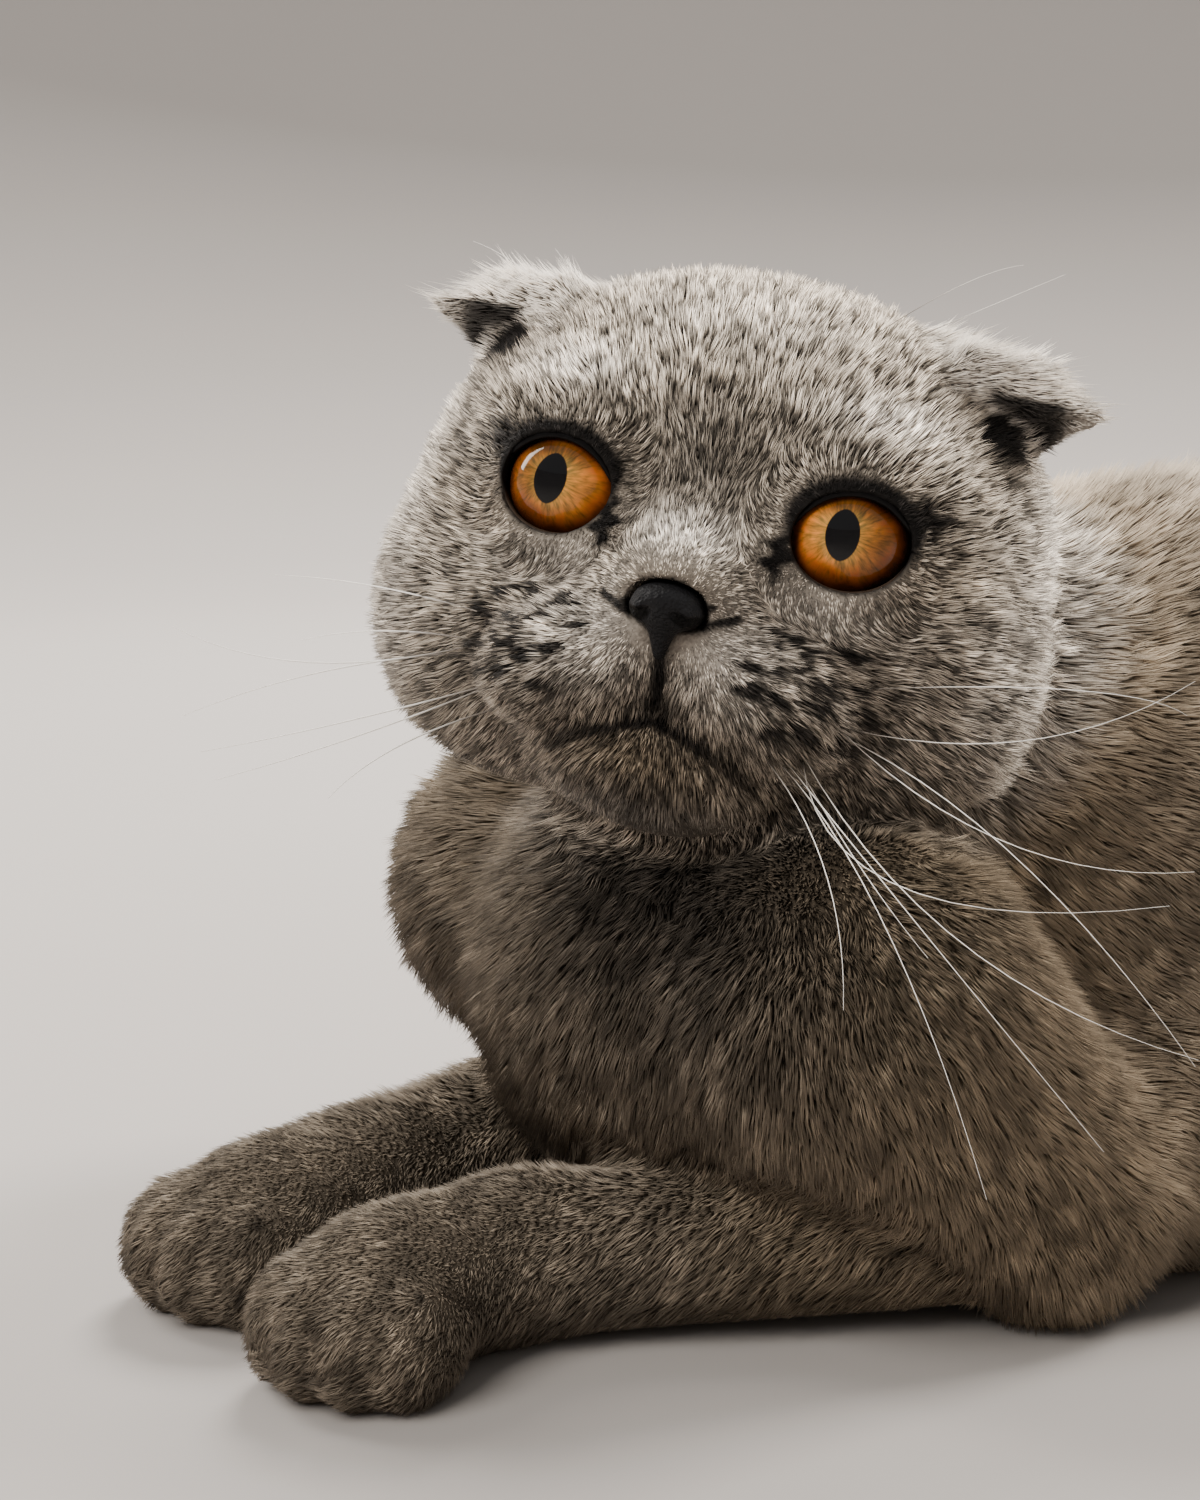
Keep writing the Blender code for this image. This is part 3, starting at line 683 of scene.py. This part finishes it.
def swell(points, length, seed):
    """A smooth random number round 0 at places, which changes over about such a length."""
    waves = np.random.default_rng(seed)
    ways = unit(waves.normal(size=(7, 3))) * (2 * math.pi / length) * waves.uniform(0.6, 1.5, (7, 1))
    return np.sin(points @ ways.T + waves.uniform(0, 2 * math.pi, 7)).sum(1) / 2.6


root = at_roots(places)
up = unit(at_roots(facing))
tuft_rise, tuft_width = at_roots(rise), at_roots(thickness)
root_map = np.einsum("tk,tkc->tc", weights, skin_map[loops[chosen]])

# Each tuft follows the lie, a little astray, and leans up from the skin.
flow = at_roots(lie)
for way, axis in enumerate(np.eye(3)):
    wander = 0.16 * swell(root, 0.010, 20 + way) + 0.10 * swell(root, 0.0035, 30 + way)
    flow = flow + axis * wander[:, None]
flow = flow + rng.normal(size=flow.shape) * STRAY
flow = unit(flow - up * (flow * up).sum(1, keepdims=True))
steep = at_roots(steepness)
lean = np.radians(steep + 5 * swell(root, 0.008, 40) + rng.normal(size=count) * 5)
lean = np.clip(lean, math.radians(LEAST_LEAN), math.radians(MOST_LEAN))
length = (tuft_rise + LONGER_ABOVE) / np.sin(np.radians(steep)) * rng.uniform(*LENGTHS, count) / 1000
length *= 1 + 0.14 * swell(root, 0.006, 41)
ahead = flow * np.cos(lean)[:, None] + up * np.sin(lean)[:, None]

# Along the fold and round the tip of each ear some tufts stand out as a fringe.
ear_share = at_roots(of_ear)
from_tip = np.linalg.norm(np.abs(in_head(root)) - np.abs(EAR_TIP), axis=1)
crest = ear_share * ease((up @ np.array(head_axes))[:, 2], 0.35, 0.85)
fringe = ear_share * np.exp(-((from_tip / FRINGE_REACH) ** 2)) + crest
length *= 1 + fringe * np.where(rng.random(count) < LONG_SHARE, LONGER_BY, 0.0)

# Hairs gather in locks, a few tufts to each, whose tips draw together and share one tone.
LOCK_TUFTS, LOCK_DRAW = 3, 0.42
lock_heads = np.arange(0, count, LOCK_TUFTS)
lock_tree = KDTree(len(lock_heads))
for number, place in enumerate(root[lock_heads]):
    lock_tree.insert(place, number)
lock_tree.balance()
lock = np.array([lock_tree.find(place)[1] for place in root])
head_of = lock_heads[lock]
drawn = (up * up[head_of]).sum(1) > 0.5
reach = root + ahead * length[:, None]
reach_of_head = root[head_of] + ahead[head_of] * length[head_of][:, None]
reach += (reach_of_head - reach) * (LOCK_DRAW * drawn)[:, None]
ahead = unit(reach - root)
length = np.linalg.norm(reach - root, axis=1)
sideways = unit(np.cross(ahead, up))
ridge = unit(np.cross(sideways, ahead))
half = tuft_width[:, None] / 2000 * rng.uniform(*WIDTHS, (count, 1))
sunk = root - ahead * SUNK
tuft = np.stack([
    sunk - sideways * half, sunk + sideways * half, sunk + ridge * half * 0.9,
    sunk + ahead * length[:, None],
], 1)
tuft[:, :, 2] = np.maximum(tuft[:, :, 2], TUFTS_LOWEST)

# The tone of a tuft is partly its lock's and partly its own: few dark, most middling, some
# bright. Downy, pale and ear hair is calmer, and the whole coat is a little clouded.
TONE_PICKS, TONES = (0.16, 0.40, 0.50, 0.74, 0.92), (0.13, 0.26, 0.74, 1.04, 1.80)
CALM_TONE, CALM_PALE, CALM_EAR = 0.97, 0.25, 0.85
marks = markings(root, ear_share, at_roots(under_ear))
pick = 0.58 * rng.random(len(lock_heads))[lock] + 0.34 * rng.random(count)
pick += 0.04 + 0.12 * swell(root, 0.0032, 44)
tone = np.interp(pick, TONE_PICKS, TONES)
downy = at_roots(soft)
calm = np.maximum(downy, np.maximum(CALM_PALE * marks[:, 1], CALM_EAR * ear_share))
tone += (CALM_TONE - tone) * calm
tone *= 1 + 0.13 * swell(root, 0.0050, 42) + 0.22 * np.minimum(1, 2 * downy) * swell(root, 0.011, 43)

TUFT_FACES = np.array(((0, 2, 3), (2, 1, 3), (1, 0, 3), (0, 1, 2)))
TUFT_ALONG = np.array((0.0, 0.0, 0.0, 1.0))
TUFT_MAP = np.array(((-1, -1), (1, -1), (0, -0.6), (0, 1.0))) * 0.0015


hair = Paint("blue_coat_hair", Roughness=0.50, Specular_IOR_Level=0.22)
along = hair.eased(hair.number("along") + hair.number("soft") * 0.36, 0.06, 0.52)
hair.feed(Base_Color=hair.times(coat_colour(hair, along), hair.number("tone")))


def grow(name, members):
    """Join the chosen tufts in one piece of coat."""
    here = np.flatnonzero(members)
    mesh = bpy.data.meshes.new(name)
    points = tuft[here].reshape(-1, 3)
    faces = (TUFT_FACES[None] + 4 * np.arange(len(here))[:, None, None]).reshape(-1, 3)
    mesh.vertices.add(len(points))
    mesh.vertices.foreach_set("co", points.ravel())
    mesh.loops.add(faces.size)
    mesh.loops.foreach_set("vertex_index", faces.ravel())
    mesh.polygons.add(len(faces))
    mesh.polygons.foreach_set("loop_start", np.arange(0, faces.size, 3))
    mesh.polygons.foreach_set("loop_total", np.full(len(faces), 3))
    mesh.update(calc_edges=True)
    spread = (root_map[here][:, None] + TUFT_MAP[None]).reshape(-1, 2)
    mesh.uv_layers.new(name="OFBake").data.foreach_set("uv", spread[faces.ravel()].ravel())
    dark, pale, warm = np.repeat(marks[here], 4, axis=0).T
    give(mesh, along=np.tile(TUFT_ALONG, len(here)), tone=np.repeat(tone[here], 4),
         dark=dark, pale=pale, warm=warm, soft=np.repeat(downy[here], 4))
    mesh.materials.append(hair.material)
    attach(linked(name, mesh), "root")


# The coat is parted in pieces of the head, the trunk, the legs and the tail.
FACE_BACK, CHEST_BACK, TRUNK_MIDDLE = -18, -0.045, -0.015
tuft_kind = np.array([kinds[k] for k in kind[corners[chosen, 0]]])
in_front = in_head(root)[:, 1] < FACE_BACK
head_left = in_head(root)[:, 0] >= 0
foreleg = np.isin(tuft_kind, ("forearm", "paw"))
chest = root[:, 1] < CHEST_BACK
trunk_left, leg_left = root[:, 0] >= TRUNK_MIDDLE, root[:, 0] >= 0
coats = {
    "face_coat": {
        "coat_face_left": (tuft_kind == "head") & head_left & in_front,
        "coat_face_right": (tuft_kind == "head") & ~head_left & in_front,
        "coat_head_left": (tuft_kind == "head") & head_left & ~in_front,
        "coat_head_right": (tuft_kind == "head") & ~head_left & ~in_front,
        "coat_ears": tuft_kind == "ear",
    },
    "body_coat": {
        "coat_neck": tuft_kind == "neck",
        "coat_chest": (tuft_kind == "torso") & chest,
        "coat_side_left": (tuft_kind == "torso") & ~chest & trunk_left,
        "coat_side_right": (tuft_kind == "torso") & ~chest & ~trunk_left,
        "coat_upper_arms": tuft_kind == "upper",
        "coat_foreleg_left": foreleg & leg_left,
        "coat_foreleg_right": foreleg & ~leg_left,
        "coat_haunches": np.isin(tuft_kind, ("thigh", "foot")),
        "coat_tail": tuft_kind == "tail",
    },
}
for slot, pieces in coats.items():
    for name, members in pieces.items():
        grow(name, members)


# The eyes. Two wet balls, each bulging a little in front, with a copper iris that is golden
# round the upright pupil and runs to red brown at its rim. Painted shade darkens the iris under
# the upper lid, over the lower lid and toward its outer side. The colours below go from pupil
# to rim, and places on the iris count the ball's radius as 1.
EYE_RADIUS, EYE_BULGE = 0.0105, 0.0006
GAZE = {"left": (0.7365, -0.6420, 0.2131), "right": (0.6307, -0.7450, 0.2174)}
PUPIL_LEAN = {"left": -3.0, "right": 3.0}
PUPIL_WIDTH, PUPIL_HEIGHT, PUPIL_ROUND = 0.265, 0.40, 1.8
OUTER_SHADE = {"left": 0.0, "right": 0.20}
IRIS = (
    (0.26, (0.27, 0.165, 0.040)), (0.40, (0.32, 0.145, 0.028)), (0.56, (0.41, 0.140, 0.022)),
    (0.70, (0.37, 0.092, 0.012)), (0.84, (0.160, 0.042, 0.009)), (0.98, (0.060, 0.023, 0.011)),
)
PUPIL = (0.0015, 0.0015, 0.002)
iris = Paint(
    "copper_eye", Roughness=0.45, Specular_IOR_Level=0.0, Coat_Weight=1.0, Coat_Roughness=0.015,
    Coat_IOR=1.33,
)
spot = iris.node("ShaderNodeAttribute", {"attribute_name": "iris_place"}, output=1)
eye_x, eye_y = (iris.node("ShaderNodeSeparateXYZ", sockets={0: spot}, output=k) for k in (0, 1))
radius = (eye_x * eye_x + eye_y * eye_y) ** 0.5
streak_place = iris.node(
    "ShaderNodeCombineXYZ", sockets={0: eye_x / radius * 4.0, 1: eye_y / radius * 4.0, 2: radius * 2.2}
)
fibres = iris.noise(2.6, 3.0, streak_place)
clouds = iris.noise(2.2, 2.0, spot)
shifted = radius + (fibres - 0.5) * 0.55 + (clouds - 0.5) * 0.60
ring = iris.node("ShaderNodeValToRGB", {"stops": IRIS}, {0: shifted})
pupil_x = eye_x.sum("ABSOLUTE", eye_x) / PUPIL_WIDTH
slit = pupil_x ** PUPIL_ROUND + (eye_y / PUPIL_HEIGHT) * (eye_y / PUPIL_HEIGHT)
shaded = fibres * 2.6 - 0.25
# Painted shade: darker toward the top and the bottom of the iris, as under the lids, and toward its outer
# side.
for value, least, full, darkest in (
    (eye_y, 0.50, 0.16, 0.20), (eye_y, -0.72, -0.28, 0.30), (iris.number("noseward"), -0.66, -0.05, 0.36),
):
    shaded = shaded * iris.eased(value, least, full, darkest, 1.0)
pupil = iris.eased(slit, 0.93, 1.06, 1.0, 0.0)
iris.feed(Base_Color=iris.mix(pupil, iris.times(ring, shaded), PUPIL))
for side, across in SIDES.items():
    bpy.ops.object.select_all(action="DESELECT")
    bpy.ops.mesh.primitive_uv_sphere_add(
        segments=64, ring_count=40, radius=EYE_RADIUS, location=(0, 0, 0)
    )
    ball = bpy.context.object
    ball.name = ball.data.name = f"eye_ball_{side}"
    bulge = numbers(ball.data.vertices, "co", 3)
    bulge[:, 2] += EYE_BULGE * ease(bulge[:, 2] / EYE_RADIUS, 0.45, 0.95)
    named = ball.data.attributes.new("iris_place", "FLOAT_VECTOR", "POINT")
    named.data.foreach_set("vector", (bulge / EYE_RADIUS).astype(np.float32).ravel())
    give(ball.data, noseward=-across * bulge[:, 0] / EYE_RADIUS - OUTER_SHADE[side])
    gaze = Vector(GAZE[side]).normalized()
    upright = head_axes @ axes(("Y", PUPIL_LEAN[side])) @ Vector((0, 0, 1))
    to_side = upright.cross(gaze).normalized()
    stand = Matrix((to_side, gaze.cross(to_side), gaze)).transposed()
    bulge = bulge @ np.array(stand).T + np.array(eye_middle[side])
    ball.data.vertices.foreach_set("co", bulge.ravel())
    ball.data.update()
    ball.data.shade_smooth()
    ball.data.materials.append(iris.material)
    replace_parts(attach(ball, "root"), f"eye_{side}")


# The lid rims. Each eye is edged with bare skin that is grown to the lids: near-black and broad
# above, brown, moist and narrow below, and drawn out to a small point at the inner corner.
# A ring is drawn out to the shape of the opening and laid on a shell round the ball. All in mm.
RIM_SECTION, RIM_GAP = 0.25, 0.2
RIM_WIDTH, WIDER_ABOVE = 0.46, 1.00
INNER_POINT, OUTER_POINT, POINT_SPREAD = (2.6, 1.7), (1.0, 0.6), 0.30
RIM_SHELL, RIM_HEIGHT, HIGHER_ABOVE = 11.35, 0.75, 0.35
rim_paint = Paint("lid_rim", Roughness=0.45, Specular_IOR_Level=0.10)
rim_tone = rim_paint.noise(900.0, 2.0)
wet_edge = rim_paint.mix(rim_tone, (0.020, 0.013, 0.009), (0.045, 0.031, 0.022))
bare_lid = rim_paint.mix(rim_tone, (0.0012, 0.0012, 0.0014), (0.0035, 0.003, 0.003))
rim_paint.feed(Base_Color=rim_paint.mix(rim_paint.number("upper"), wet_edge, bare_lid))
for side, across in SIDES.items():
    bpy.ops.object.select_all(action="DESELECT")
    bpy.ops.mesh.primitive_torus_add(
        major_segments=96, minor_segments=12, major_radius=1.0, minor_radius=RIM_SECTION,
        location=(0, 0, 0),
    )
    rim = bpy.context.object
    rim.name = rim.data.name = f"lid_rim_{side}"
    ring_points = numbers(rim.data.vertices, "co", 3)
    turn = np.arctan2(ring_points[:, 1], ring_points[:, 0])
    out = (np.hypot(ring_points[:, 0], ring_points[:, 1]) - 1) / RIM_SECTION
    lift = ring_points[:, 2] / RIM_SECTION
    inner = np.exp(-((np.abs(turn) - math.pi) / POINT_SPREAD) ** 2)
    outer = np.exp(-(turn / POINT_SPREAD) ** 2)
    above = ease(np.sin(turn), -0.3, 0.8)
    path_x = (EYE_OPENING[0] + RIM_GAP) * np.cos(turn) - INNER_POINT[0] * inner + OUTER_POINT[0] * outer
    path_z = (EYE_OPENING[1] + RIM_GAP) * np.sin(turn) - INNER_POINT[1] * inner + OUTER_POINT[1] * outer
    way = unit(np.stack([path_x / EYE_OPENING[0] ** 2, path_z / EYE_OPENING[1] ** 2], 1))
    spread = RIM_WIDTH + WIDER_ABOVE * above
    path_x = path_x + way[:, 0] * spread * (out + 0.3)
    path_z = path_z + way[:, 1] * spread * (out + 0.3)
    shell = RIM_SHELL + RIM_HEIGHT * lift + HIGHER_ABOVE * above
    depth = -np.sqrt(np.maximum(shell**2 - path_x**2 - path_z**2, 4.0))
    local_rim = np.stack([across * path_x, depth, path_z], 1) / 1000
    placed = local_rim @ np.array(eye_axes(side)).T + np.array(eye_middle[side])
    rim.data.vertices.foreach_set("co", placed.ravel())
    give(rim.data, upper=ease(np.sin(turn), -0.75, -0.35))
    edit_whole(bpy.ops.mesh.normals_make_consistent, inside=False)
    rim.data.shade_smooth()
    rim.data.materials.append(rim_paint.material)
    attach(rim, "root")


# The nose leather. Bare, pebbled black skin with two comma-shaped nostrils, painted near-black
# for the shade inside them, set in the fur.
# It takes the place of the nose's solid, a little narrower and with a lower top.
NOSTRILS = (((3.2, -17.0), (4.8, -17.6)), ((4.8, -17.6), (9.0, -15.9)))
NARROWER, LOWER_TOP = 0.91, 0.88
leather = Paint("nose_leather", Roughness=0.50, Specular_IOR_Level=0.10)
leather_place = leather.node("ShaderNodeTexCoord", output=3)
pebbles = leather.node(
    "ShaderNodeTexVoronoi", {"feature": "SMOOTH_F1"}, {"Vector": leather_place, "Scale": 2300.0}
)
skin_tone = leather.mix(leather.noise(300.0), (0.0045, 0.0045, 0.0050), (0.0115, 0.0115, 0.0125))
leather.feed(
    Base_Color=leather.mix(leather.number("nostril"), skin_tone, (0.0005, 0.0005, 0.0005)),
    Normal=leather.bump(pebbles, 0.8, 0.0004),
)
snout = drawn_over(["nose"], "nose_pad")
shape_by(snout, "SUBSURF", levels=2, render_levels=2)
pad_places = in_head(numbers(snout.data.vertices, "co", 3))
# The nostrils are painted near-black, the shade inside them.
hollow = np.min([beside(np.abs(pad_places[:, [0, 2]]) * (1, -1), *slit)[0] for slit in NOSTRILS], axis=0)
give(snout.data, nostril=ease(hollow, 1.35, 0.75))
pad = pad_places - in_head(nose_middle[None])
pad *= np.where(pad[:, 2:] > 0, (NARROWER, 1.0, LOWER_TOP), (NARROWER, 1.0, 1.0))
drawn_in = out_of_head(pad + in_head(nose_middle[None]))
snout.data.vertices.foreach_set("co", np.ascontiguousarray(drawn_in, np.float32).ravel())
snout.data.shade_smooth()
snout.data.materials.clear()
snout.data.materials.append(leather.material)
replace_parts(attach(snout, "root"), "nose")


# The whiskers. Long stiff white bristles, thickest where they root in the dark rows of the lip
# pads and drawn out to a fine point, with a few shorter ones over the eyes. Each is given by
# its root, its middle and its tip, and is darker near the root, where hair shades it.
WHISKERS = {
    "right": (
        ((-37, -31, -30), (-64, -24, -38), (-89, -20, -37)),
        ((-37, -30, -31), (-60, -27, -39), (-82, -26, -51)),
        ((-30, -38, -35), (-53, -37, -46), (-74, -38, -55)),
        ((-29, -40, -35), (-48, -43, -47), (-68, -47, -58)),
        ((-35, -34, -23), (-55, -23, -23), (-74, -15, -25)),
        ((-35, -32, -28), (-51, -25, -30), (-67, -16, -35)),
        ((-29, -29, -39), (-41, -38, -47), (-49, -46, -57)),
    ),
    "left": (
        ((20, -44, -37), (34, -65, -49), (42, -78, -67)),
        ((22, -43, -37), (45, -69, -55), (68, -80, -89)),
        ((24, -44, -37), (46, -67, -51), (83, -71, -80)),
        ((25, -42, -37), (39, -61, -48), (52, -69, -58)),
        ((26, -44, -35), (56, -59, -56), (94, -55, -66)),
        ((26, -43, -36), (46, -65, -49), (85, -56, -44)),
        ((31, -40, -30), (59, -44, -41), (88, -35, -40)),
        ((31, -39, -31), (61, -45, -43), (94, -49, -68)),
        ((32, -35, -29), (59, -34, -25), (82, -24, -11)),
        ((34, -34, -22), (65, -28, -16), (82, -15, -17)),
    ),
    "brow": (
        ((-27, -22, 26), (-38, -23, 33), (-50, -18, 37)),
        ((-24, -20, 29), (-30, -23, 34), (-35, -22, 38)),
        ((20, -13, 35), (31, -10, 45), (40, -2, 51)),
        ((24, -12, 34), (38, -7, 44), (47, 1, 51)),
    ),
}
WHISKER_RADIUS = {"right": 0.20, "left": 0.12, "brow": 0.09}
WHISKER_STEPS, WHISKER_TAPER = 14, 0.78
WHISKER_SUNK, WHISKER_FADE = 2.0, (16.0, 3.0)
bristle = Paint("white_bristle", Roughness=0.35, Specular_IOR_Level=0.5)
shown = bristle.mix(bristle.noise(60.0), (0.66, 0.62, 0.56), (0.92, 0.89, 0.84))
bristle.feed(Base_Color=bristle.mix(bristle.number("rooted"), shown, (0.16, 0.14, 0.12)))
for group, whiskers in WHISKERS.items():
    line = bpy.data.curves.new(f"whiskers_{group}", "CURVE")
    line.dimensions, line.bevel_depth, line.bevel_resolution = "3D", WHISKER_RADIUS[group] / 1000, 1
    line.use_fill_caps = True
    for whisker in whiskers:
        start, middle, end = (np.array(place, float) for place in whisker)
        start = start + WHISKER_SUNK * unit(start - middle)
        pull = 2 * middle - (start + end) / 2
        spline = line.splines.new("POLY")
        spline.points.add(WHISKER_STEPS - 1)
        for step, point in enumerate(spline.points):
            share = step / (WHISKER_STEPS - 1)
            place = (1 - share) ** 2 * start + 2 * share * (1 - share) * pull + share**2 * end
            point.co = (*out_of_head(place), 1)
            point.radius = (0.6 + 0.4 * ease(share, 0.0, 0.2)) * (1.0 - WHISKER_TAPER * share)
    choose(linked(f"whiskers_{group}", line))
    bpy.ops.object.convert(target="MESH")
    tube = bpy.context.object
    bristle_places = in_head(numbers(tube.data.vertices, "co", 3))
    from_root = np.min([np.linalg.norm(bristle_places - w[0], axis=1) for w in whiskers], axis=0)
    give(tube.data, rooted=ease(from_root, *WHISKER_FADE))
    tube.data.shade_smooth()
    tube.data.materials.append(bristle.material)
    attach(tube, "root")


# The floor. A plain pale sweep, a flat disc under the cat whose edge turns up softly well away
# from it. Disc and edge are made apart and joined.
SWEEP_START, SWEEP_BEND, SWEEP_STEPS = 0.9, 1.1, 16
LIGHTER_ABOVE = 0.45


def disc():
    """A flat round sheet on the floor, chosen alone."""
    bpy.ops.object.select_all(action="DESELECT")
    bpy.ops.mesh.primitive_circle_add(
        vertices=96, radius=SWEEP_START, fill_type="NGON", location=(0, 0, 0)
    )
    return bpy.context.object


floor = disc()
floor.name = "floor"
bpy.ops.object.mode_set(mode="EDIT")
bpy.ops.mesh.select_all(action="SELECT")
bpy.ops.mesh.delete(type="ONLY_FACE")
bpy.ops.mesh.select_all(action="SELECT")
reach, lift = SWEEP_START, 0.0
for step in range(1, SWEEP_STEPS + 1):
    turn = math.radians(90 * step / SWEEP_STEPS)
    wider = SWEEP_START + SWEEP_BEND * math.sin(turn)
    higher = SWEEP_BEND * (1 - math.cos(turn))
    bpy.ops.mesh.extrude_region_move(TRANSFORM_OT_translate={"value": (0, 0, higher - lift)})
    bpy.ops.transform.resize(value=(wider / reach, wider / reach, 1))
    reach, lift = wider, higher
bpy.ops.object.mode_set(mode="OBJECT")
choose(disc(), floor)
bpy.ops.object.join()
edit_whole(bpy.ops.mesh.remove_doubles, threshold=0.0001)
edit_whole(bpy.ops.mesh.normals_make_consistent, inside=True)
floor.data.shade_smooth()
sweep = Paint("pale_sweep", Roughness=0.85)
sweep_place = sweep.node("ShaderNodeTexCoord", output=3)
height = sweep.node("ShaderNodeSeparateXYZ", sockets={0: sweep_place}, output=2)
flat = sweep.mix(sweep.noise(3.0), (0.255, 0.237, 0.224), (0.277, 0.258, 0.244))
# The upturned edge is painted lighter as it rises, painted light making up for the light it gets less of.
risen = sweep.eased(height, 0.0, LIGHTER_ABOVE)
sweep.feed(Base_Color=sweep.mix(risen, flat, (0.300, 0.280, 0.265)))
floor.data.materials.append(sweep.material)


# The light. A soft key hangs high in front, a tall window stands on the cat's right and shows
# in the eyes, with a weak lamp beside it, two lamps behind edge the coat, and a pale room fills
# the shadows.
LAMP_COLOUR = (1.0, 0.962, 0.912)


def lamp(name, place, energy, width, height, glossy=False):
    """A soft rectangular lamp that faces the head, seen in wet surfaces only where asked."""
    light = bpy.data.lights.new(name, "AREA")
    light.shape, light.size, light.size_y = "RECTANGLE", width, height
    light.energy, light.color = energy, LAMP_COLOUR
    made = linked(name, light)
    made.location = place
    made.rotation_euler = (head_middle - Vector(place)).to_track_quat("-Z", "Y").to_euler()
    made.visible_glossy = glossy


lamp("key", (0.30, -0.95, 0.95), 23.0, 0.7, 0.7)
lamp("window", (-0.83, -0.65, 0.78), 10.5, 0.27, 0.80, True)
lamp("rim", (-0.75, 0.45, 0.95), 48.0, 0.5, 0.5)
lamp("edge", (0.12, 0.98, 0.92), 42.0, 0.5, 0.5)
lamp("side", (-1.05, -0.50, 0.60), 6.0, 0.4, 0.4)
room = bpy.data.worlds.new("room")
bpy.context.scene.world = room
room.use_nodes = True
room.node_tree.nodes["Background"].inputs["Color"].default_value = (0.91, 0.88, 0.85, 1)
room.node_tree.nodes["Background"].inputs["Strength"].default_value = 0.68
